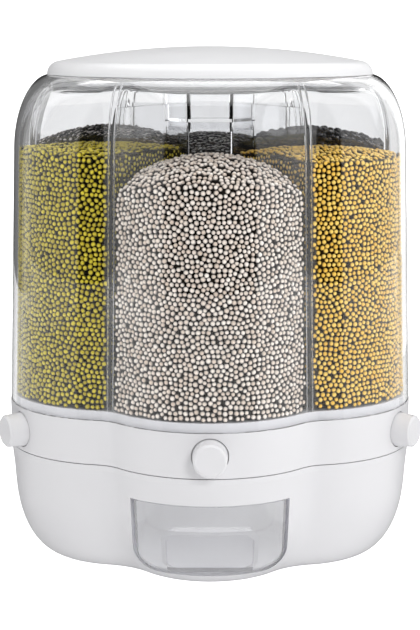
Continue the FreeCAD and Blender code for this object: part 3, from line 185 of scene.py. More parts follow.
def mottle_group():
    """Soft, fine unevenness: a mask for colour and gloss, and the height of a moulded surface."""
    tree = bpy.data.node_groups.get("mottle")
    if tree:
        return tree
    tree = bpy.data.node_groups.new("mottle", "ShaderNodeTree")
    tree.interface.new_socket("Vector", in_out="INPUT", socket_type="NodeSocketVector")
    size = tree.interface.new_socket("Scale", in_out="INPUT", socket_type="NodeSocketFloat")
    size.default_value = 300
    tree.interface.new_socket("Mask", in_out="OUTPUT", socket_type="NodeSocketFloat")
    tree.interface.new_socket("Height", in_out="OUTPUT", socket_type="NodeSocketFloat")
    start = add_node(tree, "NodeGroupInput", (-600, 0))
    end = add_node(tree, "NodeGroupOutput", (400, 0))
    wide = add_node(tree, "ShaderNodeTexNoise", (-300, 150))
    wide.inputs["Detail"].default_value = 3
    fine = add_node(tree, "ShaderNodeTexNoise", (-300, -150))
    fine.inputs["Detail"].default_value = 1
    finer = add_node(tree, "ShaderNodeMath", (-450, -150), operation="MULTIPLY")
    finer.inputs[1].default_value = 6
    tree.links.new(start.outputs["Vector"], wide.inputs["Vector"])
    tree.links.new(start.outputs["Vector"], fine.inputs["Vector"])
    tree.links.new(start.outputs["Scale"], wide.inputs["Scale"])
    tree.links.new(start.outputs["Scale"], finer.inputs[0])
    tree.links.new(finer.outputs[0], fine.inputs["Scale"])
    tree.links.new(wide.outputs["Fac"], end.inputs["Mask"])
    tree.links.new(fine.outputs["Fac"], end.inputs["Height"])
    return tree


def base_material(name, mottle_scale):
    """A new material with its Principled shader and a mottle on Object coordinates."""
    material = bpy.data.materials.new(name)
    material.use_nodes = True
    tree = material.node_tree
    shader = tree.nodes["Principled BSDF"]
    place = add_node(tree, "ShaderNodeTexCoord", (-900, 0))
    mottle = add_node(tree, "ShaderNodeGroup", (-700, 0), node_tree=mottle_group())
    mottle.inputs["Scale"].default_value = mottle_scale
    tree.links.new(place.outputs["Object"], mottle.inputs["Vector"])
    return material, tree, shader, mottle


def spread_colour(tree, shader, mask, dark, light):
    blend = add_node(tree, "ShaderNodeMix", (-300, 200), data_type="RGBA")
    blend.inputs["A"].default_value = (*dark, 1)
    blend.inputs["B"].default_value = (*light, 1)
    tree.links.new(mask, blend.inputs["Factor"])
    tree.links.new(blend.outputs["Result"], shader.inputs["Base Color"])
    return blend


def spread_gloss(tree, shader, mask, smooth, rough):
    ramp = add_node(tree, "ShaderNodeMapRange", (-300, -50))
    ramp.inputs["To Min"].default_value = smooth
    ramp.inputs["To Max"].default_value = rough
    tree.links.new(mask, ramp.inputs["Value"])
    tree.links.new(ramp.outputs["Result"], shader.inputs["Roughness"])


def raise_surface(tree, shader, height, depth, strength):
    bump = add_node(tree, "ShaderNodeBump", (-300, -300))
    bump.inputs["Distance"].default_value = depth
    bump.inputs["Strength"].default_value = strength
    tree.links.new(height, bump.inputs["Height"])
    tree.links.new(bump.outputs["Normal"], shader.inputs["Normal"])


def moulded_plastic(name, tint, smooth, rough, depth=0.00002):
    """Injection-moulded plastic: faintly uneven in colour and gloss, with a fine skin."""
    material, tree, shader, mottle = base_material(name, 40)
    darker = [channel * 0.97 for channel in tint]
    spread_colour(tree, shader, mottle.outputs["Mask"], darker, tint)
    spread_gloss(tree, shader, mottle.outputs["Mask"], smooth, rough)
    raise_surface(tree, shader, mottle.outputs["Height"], depth, 0.15)
    shader.inputs["IOR"].default_value = PLASTIC_IOR
    return material


def clear_plastic(name, tint, roughness=0.0, clearness=1.0):
    """Clear plastic that refracts, and lets the lamps' light through to what is inside."""
    material, tree, shader, mottle = base_material(name, 25)
    darker = [channel * 0.985 for channel in tint]
    spread_colour(tree, shader, mottle.outputs["Mask"], darker, tint)
    shader.inputs["Roughness"].default_value = roughness
    shader.inputs["IOR"].default_value = PLASTIC_IOR
    shader.inputs["Transmission Weight"].default_value = clearness
    end = tree.nodes["Material Output"]
    through = add_node(tree, "ShaderNodeBsdfTransparent", (100, -300))
    through.inputs["Color"].default_value = (*tint, 1)
    path = add_node(tree, "ShaderNodeLightPath", (-100, 500))
    either = add_node(tree, "ShaderNodeMath", (100, 400), operation="MAXIMUM")
    mix = add_node(tree, "ShaderNodeMixShader", (350, 0))
    tree.links.new(path.outputs["Is Shadow Ray"], either.inputs[0])
    tree.links.new(path.outputs["Is Diffuse Ray"], either.inputs[1])
    tree.links.new(either.outputs[0], mix.inputs["Fac"])
    tree.links.new(shader.outputs["BSDF"], mix.inputs[1])
    tree.links.new(through.outputs["BSDF"], mix.inputs[2])
    tree.links.new(mix.outputs["Shader"], end.inputs["Surface"])
    return material


def brushed_metal(name, tint):
    material, tree, shader, mottle = base_material(name, 900)
    darker = [channel * 0.8 for channel in tint]
    spread_colour(tree, shader, mottle.outputs["Mask"], darker, tint)
    spread_gloss(tree, shader, mottle.outputs["Mask"], 0.2, 0.4)
    shader.inputs["Metallic"].default_value = 1.0
    return material


def seed_material(name, light, dark, roughness, split):
    """Seeds that differ from one to the next, with painted shade that darkens each seed from its crown to
    where it touches its neighbours.

    With a split, each seed is plainly dark or light, and the split is the share of dark ones."""
    material, tree, shader, mottle = base_material(name, 900)
    tint = add_node(tree, "ShaderNodeAttribute", (-900, 300), attribute_name="tint")
    level = add_node(tree, "ShaderNodeMapRange", (-700, 300))
    level.inputs["From Min"].default_value = split
    level.inputs["From Max"].default_value = 1.0 if split == 0 else split + 0.05
    mixed = add_node(tree, "ShaderNodeMath", (-500, 300), operation="MULTIPLY_ADD")
    mixed.inputs[1].default_value = 0.75
    soft = add_node(tree, "ShaderNodeMath", (-500, 100), operation="MULTIPLY")
    soft.inputs[1].default_value = 0.25
    # Painted shade: the crown mask keeps each seed's own colour on its crown and takes it to near black at
    # its sides, where neighbours would shade it.
    crown = add_node(tree, "ShaderNodeAttribute", (-900, 550), attribute_name="crown")
    rise = add_node(tree, "ShaderNodeMapRange", (-700, 550), interpolation_type="SMOOTHSTEP")
    painted_shade_mix = add_node(tree, "ShaderNodeMix", (-100, 300), data_type="RGBA")
    # The colour of the painted shade: the seed's dark colour turned near black.
    painted_shade_mix.inputs["A"].default_value = (*[channel * 0.03 for channel in dark], 1)
    tree.links.new(tint.outputs["Fac"], level.inputs["Value"])
    tree.links.new(mottle.outputs["Mask"], soft.inputs[0])
    tree.links.new(level.outputs["Result"], mixed.inputs[0])
    tree.links.new(soft.outputs[0], mixed.inputs[2])
    blend = spread_colour(tree, shader, mixed.outputs[0], dark, light)
    tree.links.new(crown.outputs["Fac"], rise.inputs["Value"])
    tree.links.new(rise.outputs["Result"], painted_shade_mix.inputs["Factor"])
    tree.links.new(blend.outputs["Result"], painted_shade_mix.inputs["B"])
    tree.links.new(painted_shade_mix.outputs["Result"], shader.inputs["Base Color"])
    spread_gloss(tree, shader, mottle.outputs["Mask"], roughness * 0.85, roughness * 1.15)
    shader.inputs["Specular IOR Level"].default_value = 0.5
    raise_surface(tree, shader, mottle.outputs["Height"], 0.00005, 0.3)
    return material


def painted_shade_core_material(name, dark, spacing):
    """The grain behind the outermost seeds, painted near black as shade: round shapes that fade into the
    painted shade.
    """
    material, tree, shader, mottle = base_material(name, 200)
    cells = add_node(tree, "ShaderNodeTexVoronoi", (-700, 400))
    cells.inputs["Scale"].default_value = 1 / spacing
    fade = add_node(tree, "ShaderNodeMapRange", (-500, 400), interpolation_type="SMOOTHSTEP")
    fade.inputs["From Min"].default_value = 0.45
    fade.inputs["From Max"].default_value = 0.1
    place = tree.nodes["Texture Coordinate"]
    tree.links.new(place.outputs["Object"], cells.inputs["Vector"])
    tree.links.new(cells.outputs["Distance"], fade.inputs["Value"])
    # Painted shade: the deeper grain is near black, and the round shapes of deeper seeds fade into it.
    black = [channel * 0.02 for channel in dark]
    spread_colour(tree, shader, fade.outputs["Result"], black, [channel * 0.03 for channel in dark])
    spread_gloss(tree, shader, mottle.outputs["Mask"], 0.7, 0.9)
    shader.inputs["Specular IOR Level"].default_value = 0.05
    return material


def dress(name, material):
    """Gives a CAD node's own object a finish."""
    node = frame["nodes"][name]
    node.data.materials.clear()
    node.data.materials.append(material)


def finished_mesh(name, bm):
    mesh = bpy.data.meshes.new(name)
    bm.to_mesh(mesh)
    bm.free()
    return mesh


def set_out(name, data):
    """Puts a mesh, lamp or camera into the scene as a new object."""
    holder = bpy.data.objects.new(name, data)
    bpy.context.scene.collection.objects.link(holder)
    return holder


def new_piece(name, bm, material, body, slot, *stands_for):
    """Puts a finished bmesh into the scene as a piece that rides on a body."""
    return mesh_piece(name, finished_mesh(name, bm), material, body, slot, *stands_for)


def mesh_piece(name, mesh, material, body, slot, *stands_for):
    piece = set_out(name, mesh)
    mesh.materials.clear()
    mesh.materials.append(material)
    mesh.shade_smooth()
    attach(piece, body)
    if stands_for:
        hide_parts(*stands_for)
    return piece


# The lobed outline and the heaps


def lobe_reach(turn, inset):
    """Distance from the axis to the lobed outline, moved inwards, at an angle from a lobe's middle."""
    size = sizes()
    turn = abs((turn + SECTOR / 2) % SECTOR - SECTOR / 2)
    lobe = size.lobe_radius - inset
    groove = size.groove_radius + inset
    offset = size.lobe_offset
    centre = offset * math.cos(SECTOR / 2) + math.sqrt((lobe + groove) ** 2 - offset**2 / 4)
    across = centre * math.sin(SECTOR / 2)
    along = centre * math.cos(SECTOR / 2) - offset
    share = lobe / (lobe + groove)
    meeting = math.atan2(across * share, offset + along * share)
    if turn <= meeting:
        return offset * math.cos(turn) + math.sqrt(lobe**2 - (offset * math.sin(turn)) ** 2)
    turn = SECTOR / 2 - turn
    return centre * math.cos(turn) - math.sqrt(groove**2 - (centre * math.sin(turn)) ** 2)


def shell_reach(turn, level, inset):
    """Distance from the axis to the clear shell's outside, moved inwards, at an angle and a height."""
    size = sizes()
    straight = (level - size.foot_level) / (size.shoulder_level - size.foot_level)
    if straight <= 1:
        return lobe_reach(turn, inset + size.draft * straight)
    climb = min(1.0, (level - size.shoulder_level) / (size.shoulder_rise - inset))
    below = lobe_reach(turn, inset + size.draft)
    top = size.neck - inset * (size.neck - size.mouth) / size.wall
    return below - (below - top) * (1 - math.sqrt(1 - climb**2))


# How loose grain lies: sizes and fill are shares of a seed, room and sinks shares of the spacing
SEED_SIZES = (0.84, 1.1)
SEED_FILL = 0.97
SEED_ROOM = 0.99
WALL_SINK = 0.15
TOP_SINK = (-0.15, 0.5)
SHAKES = 24
# How far seeds on each face turn their crowns, the part kept clear of painted shade, to the front
LEANS = {"wall": 0, "top": 0.3, "left": 0.5, "right": 0.5}
# Seeds lie on a divider this many radii from the wall, or this many metres below the surface
SIDE_REACH_IN_RADII = 7
SIDE_DEPTH = 0.045
# How far the core of painted shade lies behind the outermost seeds, in their radii
CORE_INSET_IN_RADII = 1.5


class Heap:
    """One compartment's grain, modelled at the front before it is turned to its sector."""

    def __init__(self, side, crown, radius):
        low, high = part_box(f"grain_{side}")
        size = sizes()
        self.radius = radius
        self.low = low.z + radius
        self.peak = high.z
        self.crown = crown
        self.edge = size.wall + size.store_gap + radius
        self.side_gap = size.divider / 2 + size.store_gap + size.rib + radius
        self.hub = size.hub_radius * math.cos(SECTOR / 2) + size.store_gap + radius
        self.centre = -size.heap_centre
        self.reach = size.heap_reach

    def top(self, x, y):
        """Height of the heap's surface over a point, or None outside the heap."""
        away = math.hypot(x, y - self.centre)
        if away >= self.reach:
            return None
        return self.peak - self.crown + math.sqrt(self.crown**2 - away**2) - self.radius

    def beside(self, x, y):
        """Room left to the nearer of the two dividers."""
        return -y * math.sin(SECTOR / 2) - abs(x) * math.cos(SECTOR / 2) - self.side_gap

    def holds(self, face, spot):
        """True where a seed's middle lies inside the walls and under the heap's surface."""
        top = self.top(spot.x, spot.y)
        if top is None or spot.z < self.low - self.radius * 0.1 or -spot.y < self.hub:
            return False
        outer = shell_reach(math.atan2(spot.x, -spot.y), spot.z, self.edge) - math.hypot(spot.x, spot.y)
        if face == "wall":
            return spot.z <= top + self.radius * 0.7 and self.beside(spot.x, spot.y) > -self.radius * 0.2
        if face == "top":
            return outer > self.radius * 0.5 and self.beside(spot.x, spot.y) > self.radius * 0.5
        near = outer < self.radius * SIDE_REACH_IN_RADII or top - spot.z < SIDE_DEPTH
        return near and outer > self.radius and spot.z < top - self.radius

    def lay(self, face, spot):
        """Moves a seed's middle back onto its own face of the heap."""
        if face == "top":
            level = self.top(spot.x, spot.y)
            return Vector((spot.x, spot.y, spot.z if level is None else level))
        level = max(spot.z, self.low)
        if face == "wall":
            turn = math.atan2(spot.x, -spot.y)
            reach = shell_reach(turn, level, self.edge)
            return Vector((math.sin(turn) * reach, -math.cos(turn) * reach, level))
        out = self.outward(face, spot)
        flat = spot - out * (spot.dot(out) + self.side_gap)
        return Vector((flat.x, flat.y, level))

    def outward(self, face, spot):
        """The way out of the grain at a place on one of its faces."""
        if face == "top":
            return Vector((spot.x, spot.y - self.centre, spot.z - self.peak + self.crown)).normalized()
        if face == "wall":
            turn = math.atan2(spot.x, -spot.y)
            reach = shell_reach(turn, spot.z, self.edge)
            ahead = shell_reach(turn + 0.01, spot.z, self.edge) - shell_reach(turn - 0.01, spot.z, self.edge)
            lean = turn - math.atan2(ahead, 0.02 * reach)
            return Vector((math.sin(lean), -math.cos(lean), 0))
        mirror = 1 if face == "right" else -1
        return Vector((mirror * math.cos(SECTOR / 2), math.sin(SECTOR / 2), 0))


def lattice(chance, low, high, spacing):
    """Points strewn evenly but without rows over a rectangle."""
    rise = spacing * math.sqrt(3) / 2
    for row in range(int((high[1] - low[1]) / rise) + 1):
        for column in range(int((high[0] - low[0]) / spacing) + 1):
            along = low[0] + (column + chance.random()) * spacing
            yield along, low[1] + (row + chance.random()) * rise


def strewn_seeds(heap, chance, spacing):
    """Seeds thrown loosely over the faces of a heap: clear wall, surface and dividers."""
    turns = [math.radians(step / 5) for step in range(-150, 151)]
    middle = (heap.low + heap.peak) / 2
    spots = []
    for turn in turns:
        reach = shell_reach(turn, middle, heap.edge)
        spots.append(Vector((math.sin(turn) * reach, -math.cos(turn) * reach, 0)))
    run = [0.0]
    for before, after in zip(spots, spots[1:]):
        run.append(run[-1] + (after - before).length)
    loose = []
    for along, level in lattice(chance, (0, heap.low), (run[-1], heap.peak), spacing):
        turn = turns[0] + (turns[-1] - turns[0]) * step_at(run, min(along, run[-1]))
        loose.append(("wall", Vector((math.sin(turn), -math.cos(turn), level))))
    span = heap.reach
    for across, along in lattice(chance, (-span, -span), (span, span), spacing):
        loose.append(("top", Vector((across, heap.centre + along, 0))))
    for face in ("left", "right"):
        mirror = 1 if face == "right" else -1
        away = Vector((mirror * math.sin(SECTOR / 2), -math.cos(SECTOR / 2), 0))
        for along, level in lattice(chance, (0, heap.low), (0.125, heap.peak), spacing):
            loose.append((face, away * along + Vector((0, 0, level))))
    laid = [(face, heap.lay(face, spot), chance.uniform(*SEED_SIZES)) for face, spot in loose]
    return [seed for seed in laid if heap.holds(seed[0], seed[1])]


def shake_down(heap, seeds, spacing):
    """Pushes crowded seeds apart along their own faces, until they lie side by side."""
    for _ in range(SHAKES):
        tree = kdtree.KDTree(len(seeds))
        for index, (_, spot, _) in enumerate(seeds):
            tree.insert(spot, index)
        tree.balance()
        moved = []
        for index, (face, spot, bulk) in enumerate(seeds):
            push = Vector((0, 0, 0))
            for other, neighbour, away in tree.find_range(spot, spacing * 1.1):
                apart = spacing * (bulk + seeds[neighbour][2]) / 2
                if neighbour != index and 0 < away < apart:
                    push += (spot - other) * ((apart - away) / (2 * away))
            moved.append((face, heap.lay(face, spot + push), bulk))
        seeds = moved
    return [seed for seed in seeds if heap.holds(seed[0], seed[1])]


def seed_places(heap, chance, spacing):
    """Where the outermost seeds lie, and which way is out of the grain there."""
    places = []
    for face, spot, bulk in shake_down(heap, strewn_seeds(heap, chance, spacing * SEED_ROOM), spacing):
        out = heap.outward(face, spot)
        sunk = chance.uniform(*TOP_SINK) if face == "top" else WALL_SINK * chance.random() ** 2
        facing = (out + Vector((0, -LEANS[face], 0))).normalized()
        places.append((spot - out * spacing * sunk, facing, bulk))
    return places


def step_at(run, along):
    """The share of the way round at which a running length is reached."""
    low, high = 0, len(run) - 1
    while high - low > 1:
        middle = (low + high) // 2
        if run[middle] <= along:
            low = middle
        else:
            high = middle
    return (low + (along - run[low]) / (run[high] - run[low])) / (len(run) - 1)


def seed_shape(name, scale):
    """A rounded seed of two dozen faces, cast from a cut cube."""
    bm = bmesh.new()
    bmesh.ops.create_cube(bm, size=2)
    bmesh.ops.subdivide_edges(bm, edges=bm.edges[:], cuts=1, use_grid_fill=True)
    for vert in bm.verts:
        vert.co = vert.co.normalized()
    # The crown, how far out each corner lies, is the mask of the seeds' painted shade.
    crown = bm.verts.layers.float.new("crown")
    for vert in bm.verts:
        vert[crown] = vert.co.z
    bmesh.ops.scale(bm, vec=scale, verts=bm.verts)
    mesh = finished_mesh(name, bm)
    mesh.shade_smooth()
    return bpy.data.objects.new(name, mesh)


def scatter_tree(seed):
    """Geometry nodes that put a turned copy of the seed on each point."""
    tree = bpy.data.node_groups.new("scatter", "GeometryNodeTree")
    tree.interface.new_socket("Geometry", in_out="INPUT", socket_type="NodeSocketGeometry")
    tree.interface.new_socket("Geometry", in_out="OUTPUT", socket_type="NodeSocketGeometry")
    start = add_node(tree, "NodeGroupInput", (-600, 0))
    end = add_node(tree, "NodeGroupOutput", (400, 0))
    shape = add_node(tree, "GeometryNodeObjectInfo", (-600, -200))
    shape.inputs["Object"].default_value = seed
    turn = add_node(tree, "GeometryNodeInputNamedAttribute", (-600, -400), data_type="FLOAT_VECTOR")
    turn.inputs["Name"].default_value = "turn"
    rotation = add_node(tree, "FunctionNodeEulerToRotation", (-400, -400))
    size = add_node(tree, "GeometryNodeInputNamedAttribute", (-600, -600), data_type="FLOAT")
    size.inputs["Name"].default_value = "size"
    copies = add_node(tree, "GeometryNodeInstanceOnPoints", (-200, 0))
    real = add_node(tree, "GeometryNodeRealizeInstances", (100, 0))
    tree.links.new(start.outputs["Geometry"], copies.inputs["Points"])
    tree.links.new(shape.outputs["Geometry"], copies.inputs["Instance"])
    tree.links.new(turn.outputs["Attribute"], rotation.inputs[0])
    tree.links.new(rotation.outputs[0], copies.inputs["Rotation"])
    tree.links.new(size.outputs["Attribute"], copies.inputs["Scale"])
    tree.links.new(copies.outputs["Instances"], real.inputs["Geometry"])
    tree.links.new(real.outputs["Geometry"], end.inputs["Geometry"])
    return tree


def scatter_seeds(name, places, seed, chance, lean):
    """A mesh of seeds laid at the given places, flat on the surface but turned at random."""
    bm = bmesh.new()
    for place, _, _ in places:
        bm.verts.new(place)
    points = finished_mesh(f"{name}_points", bm)
    for label, kind in (("turn", "FLOAT_VECTOR"), ("size", "FLOAT"), ("tint", "FLOAT")):
        points.attributes.new(label, kind, "POINT")
    turns, scales, tints = [points.attributes[label].data for label in ("turn", "size", "tint")]
    for index, (_, normal, bulk) in enumerate(places):
        aside = Vector([chance.uniform(-lean, lean) for _ in range(3)])
        facing = (normal + aside).to_track_quat("Z", "Y")
        spin = Matrix.Rotation(chance.uniform(0, math.tau), 3, "Z")
        turns[index].vector = (facing.to_matrix() @ spin).to_euler()
        scales[index].value = bulk * SEED_FILL
        tints[index].value = chance.random()
    holder = set_out(points.name, points)
    bpy.context.scene.collection.objects.link(seed)
    spread = holder.modifiers.new("scatter", "NODES")
    spread.node_group = scatter_tree(seed)
    graph = bpy.context.evaluated_depsgraph_get()
    mesh = bpy.data.meshes.new_from_object(holder.evaluated_get(graph), depsgraph=graph)
    bpy.data.objects.remove(holder)
    bpy.data.objects.remove(seed)
    mesh.name = name
    for extra in ("turn", "size"):
        if extra in mesh.attributes:
            mesh.attributes.remove(mesh.attributes[extra])
    return mesh


def grain_core(side, heap, material):
    """The body of the grain behind its outermost seeds, painted dark to stand for the shade there."""
    back = Matrix.Rotation(-SECTOR * SECTORS.index(side), 3, "Z")
    bm = bmesh.new()
    bm.from_mesh(frame["nodes"][f"grain_{side}"].data)
    bmesh.ops.remove_doubles(bm, verts=bm.verts, dist=0.00002)
    bm.normal_update()
    for vert in bm.verts:
        vert.co -= vert.normal * heap.radius * CORE_INSET_IN_RADII
        spot = back @ vert.co
        top = heap.top(spot.x, spot.y)
        vert.co.z = min(vert.co.z, heap.peak if top is None else top - heap.radius * 0.5)
    return new_piece(f"grain_core_{side}", bm, material, "carousel", frame_slot(f"grain_{side}"))


def frame_slot(node):
    """The record's material slot of a CAD node."""
    return next(item["material_slot"] for item in frame["record"]["subparts"] if item["node"] == node)


def fill_compartment(side, crown, half, shape, packing, colours, roughness, lean, split=0.0):
    """Fills one compartment with seeds round a core painted dark as shade, and turns it to its sector.

    Half is half of a seed's length. The shape and the packing are shares of it."""
    light, dark = colours
    scale = tuple(half * share for share in shape)
    spacing = half * packing
    number = SECTORS.index(side)
    chance = random.Random(grains().scatter * 100 + number)
    heap = Heap(side, crown, min(scale))
    seed = seed_shape(f"seed_{side}", scale)
    places = seed_places(heap, chance, spacing)
    mesh = scatter_seeds(f"grain_seeds_{side}", places, seed, chance, lean)
    mesh.transform(Matrix.Rotation(SECTOR * number, 4, "Z"))
    finish = seed_material(f"grain_{side}", light, dark, roughness, split)
    mesh_piece(mesh.name, mesh, finish, "carousel", frame_slot(f"grain_{side}"), f"grain_{side}")
    grain_core(side, heap, painted_shade_core_material(f"grain_depth_{side}", dark, spacing))


# Operators


class DISPENSER_OT_fill_front(bpy.types.Operator):
    """Fill the front compartments with pale, yellow and green seeds"""

    bl_idname = "dispenser.fill_front"
    bl_label = "Fill Front Compartments"

    def execute(self, context):
        look = grains()
        fill_compartment(
            "front",
            crown=0.085,
            half=look.pale_seed / 2,
            shape=(1, 1, 0.93),
            packing=1.97,
            colours=(look.pale_light, look.pale_dark),
            roughness=0.3,
            lean=0.25,
        )
        fill_compartment(
            "front_right",
            crown=0.26,
            half=look.yellow_seed / 2,
            shape=(1, 1, 0.94),
            packing=1.97,
            colours=(look.yellow_light, look.yellow_dark),
            roughness=0.3,
            lean=0.25,
        )
        fill_compartment(
            "front_left",
            crown=0.4,
            half=look.green_seed / 2,
            shape=(1, 0.9, 0.9),
            packing=1.88,
            colours=(look.green_light, look.green_dark),
            roughness=0.3,
            lean=0.3,
        )
        return {"FINISHED"}


class DISPENSER_OT_fill_back(bpy.types.Operator):
    """Fill the back compartments with black beans, rice and mixed seeds"""

    bl_idname = "dispenser.fill_back"
    bl_label = "Fill Back Compartments"

    def execute(self, context):
        look = grains()
        fill_compartment(
            "back_right",
            crown=0.12,
            half=look.black_seed / 2,
            shape=(1, 0.78, 0.68),
            packing=1.6,
            colours=(look.black_light, look.black_dark),
            roughness=0.18,
            lean=0.3,
        )
        fill_compartment(
            "back",
            crown=0.12,
            half=look.rice_seed / 2,
            shape=(1, 0.38, 0.36),
            packing=1.2,
            colours=(look.rice_light, look.rice_dark),
            roughness=0.4,
            lean=0.3,
        )
        fill_compartment(
            "back_left",
            crown=0.11,
            half=look.mixed_seed / 2,
            shape=(1, 0.5, 0.42),
            packing=1.5,
            colours=(look.mixed_light, look.mixed_dark),
            roughness=0.5,
            lean=0.3,
            split=0.5,
        )
        return {"FINISHED"}


class DISPENSER_OT_finish_white(bpy.types.Operator):
    """Finish the white mouldings: base, ring, buttons and lid"""

    bl_idname = "dispenser.finish_white"
    bl_label = "Finish White Mouldings"

    def execute(self, context):
        look = plastics()
        white = moulded_plastic("white_moulding", look.white, 0.28, 0.38)
        for name in ("base_bowl", "ring_housing", "floor_plate", *[f"button_{side}" for side in SECTORS]):
            dress(name, white)
        dress("lid_cover", moulded_plastic("lid_moulding", look.lid_white, 0.28, 0.38))
        # Painted light: the hidden mouldings get a whiter colour than the outer ones, to lighten the shaded
        # bay seen through the cup.
        inner = moulded_plastic("inner_moulding", look.lightened_inner_white, 0.45, 0.6)
        hidden = ["base_deck", "drawer_bay", "chute", "under_plate", "slide_ring"]
        for name in (*hidden, *[f"{kind}_{side}" for kind in ("gate", "guide") for side in SECTORS]):
            dress(name, inner)
        return {"FINISHED"}


class DISPENSER_OT_finish_clear(bpy.types.Operator):
    """Finish the clear mouldings: dividers, hub cup, plug and measuring cup, and make the clear finish that
    the shell and its ribs take later
    """

    bl_idname = "dispenser.finish_clear"
    bl_label = "Finish Clear Mouldings"

    def execute(self, context):
        look = plastics()
        clear = clear_plastic("clear_moulding", look.clear)
        for name in ("divider_core", "hub_cup", "lid_plug"):
            dress(name, clear)
        dress("measuring_cup", clear_plastic("smoky_moulding", look.smoke, 0.0, 0.8))
        return {"FINISHED"}


def wall_ring(bm, edges, level, inset):
    """Extrudes a ring of edges and lays it on the shell's wall, at a height and a depth in the wall."""
    made = bmesh.ops.extrude_edge_only(bm, edges=edges)["geom"]
    corners = {item for item in made if isinstance(item, bmesh.types.BMVert)}
    lay_ring(corners, level, inset)
    return [item for item in made if isinstance(item, bmesh.types.BMEdge) and corners.issuperset(item.verts)]


def lay_ring(corners, level, inset):
    for corner in corners:
        turn = math.atan2(corner.co.x, -corner.co.y)
        reach = shell_reach(turn, level, inset)
        corner.co = (math.sin(turn) * reach, -math.cos(turn) * reach, level)


class DISPENSER_OT_mould_shell(bpy.types.Operator):
    """Mould the clear shell: a lobed wall whose rounded shoulder runs into the round mouth"""

    bl_idname = "dispenser.mould_shell"
    bl_label = "Mould Clear Shell"

    def execute(self, context):
        size = sizes()
        bends = [math.sin(math.radians(step * 5)) for step in range(19)]
        outside = [size.foot_level, *[size.shoulder_level + size.shoulder_rise * bend for bend in bends]]
        inner_rise = size.shoulder_rise - size.wall
        inside = [size.foot_level, *[size.shoulder_level + inner_rise * bend for bend in bends]]
        bm = bmesh.new()
        bmesh.ops.create_circle(bm, segments=480, radius=size.neck)
        first = bm.edges[:]
        lay_ring(bm.verts, outside[0], 0)
        ring = first
        for level in outside[1:]:
            ring = wall_ring(bm, ring, level, 0)
        ring = wall_ring(bm, ring, outside[-1], size.wall)
        for level in reversed(inside):
            ring = wall_ring(bm, ring, level, size.wall)
        bmesh.ops.bridge_loops(bm, edges=first + ring)
        bmesh.ops.recalc_face_normals(bm, faces=bm.faces)
        clear = bpy.data.materials["clear_moulding"]
        shell = new_piece("shell_wall", bm, clear, "carousel", frame_slot("clear_shell"), "clear_shell")
        shell.data.set_sharp_from_angle(angle=math.radians(50))
        return {"FINISHED"}


def run_rib(bm, groove, mirror):
    """Runs one guide rib up the inside of the shell beside a groove, from the floor plate to the mouth."""
    size = sizes()
    near = size.divider / 2 + size.store_gap + 0.0002
    skin = size.wall + 0.0001
    half = size.rib / 2
    bows = [math.radians(step * 30) for step in range(7)]
    corners = [(near + half - half * math.cos(bow), skin + size.rib * math.sin(bow)) for bow in bows]
    bends = [math.sin(math.radians(step * 5)) for step in range(17)]
    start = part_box("floor_plate")[1].z + 0.0005
    rise = size.shoulder_rise - size.wall - size.rib
    levels = [start, *[size.shoulder_level + rise * bend for bend in bends]]
    ring = bmesh.ops.create_circle(bm, cap_ends=True, segments=len(corners), radius=size.rib)["verts"]
    face = next(face for face in ring[0].link_faces)
    for step, level in enumerate(levels):
        if step:
            made = bmesh.ops.extrude_face_region(bm, geom=[face])["geom"]
            if step > 1:
                bm.faces.remove(face)
            face = next(item for item in made if isinstance(item, bmesh.types.BMFace))
        for corner, (aside, inset) in zip(face.verts, corners):
            reach = shell_reach(SECTOR / 2, level, inset)
            turn = groove + mirror * aside / reach
            reach = shell_reach(turn - groove + SECTOR / 2, level, inset)
            corner.co = (math.sin(turn) * reach, -math.cos(turn) * reach, level)


class DISPENSER_OT_run_ribs(bpy.types.Operator):
    """Run the pairs of guide ribs that hold the dividers up the inside of the clear shell"""

    bl_idname = "dispenser.run_ribs"
    bl_label = "Run Guide Ribs"

    def execute(self, context):
        bm = bmesh.new()
        for number in range(6):
            for mirror in (-1, 1):
                run_rib(bm, SECTOR * (number + 0.5), mirror)
        bmesh.ops.recalc_face_normals(bm, faces=bm.faces)
        clear = bpy.data.materials["clear_moulding"]
        ribs = new_piece("shell_ribs", bm, clear, "carousel", frame_slot("clear_shell"))
        ribs.data.set_sharp_from_angle(angle=math.radians(40))
        return {"FINISHED"}


class DISPENSER_OT_finish_small(bpy.types.Operator):
    """Finish the feet, the seal and the screws"""

    bl_idname = "dispenser.finish_small"
    bl_label = "Finish Small Parts"

    def execute(self, context):
        look = plastics()
        dress("rubber_feet", moulded_plastic("rubber", look.rubber, 0.6, 0.75, 0.0001))
        dress("lid_gasket", moulded_plastic("seal", look.seal, 0.35, 0.5))
        steel = brushed_metal("steel", look.steel)
        for name in ("base_screws", "carousel_screws", "pivot_washer", "pivot_screw"):
            dress(name, steel)
        return {"FINISHED"}


class DISPENSER_OT_wind_springs(bpy.types.Operator):
    """Remake the return springs in steel from their CAD meshes, with their corners merged"""

    bl_idname = "dispenser.wind_springs"
    bl_label = "Wind Return Springs"

    def execute(self, context):
        steel = bpy.data.materials["steel"]
        for number, side in enumerate(SECTORS):
            bm = bmesh.new()
            bm.from_mesh(frame["nodes"][f"spring_{side}"].data)
            bmesh.ops.remove_doubles(bm, verts=bm.verts, dist=0.00001)
            slot = frame_slot(f"spring_{side}")
            coil = new_piece(f"coil_spring_{side}", bm, steel, "carousel", slot, f"spring_{side}")
            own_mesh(coil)
        return {"FINISHED"}


# The studio's paper, in metres, where its wall is split, and how much it glows
PAPER_RADIUS = 1.8
PAPER_HEIGHT = 2.4
WALL_SPLIT = 0.95
FLOOR_GLOW = 0.62
WALL_GLOW = 0.44
CAMERA_GLOW = 0.7


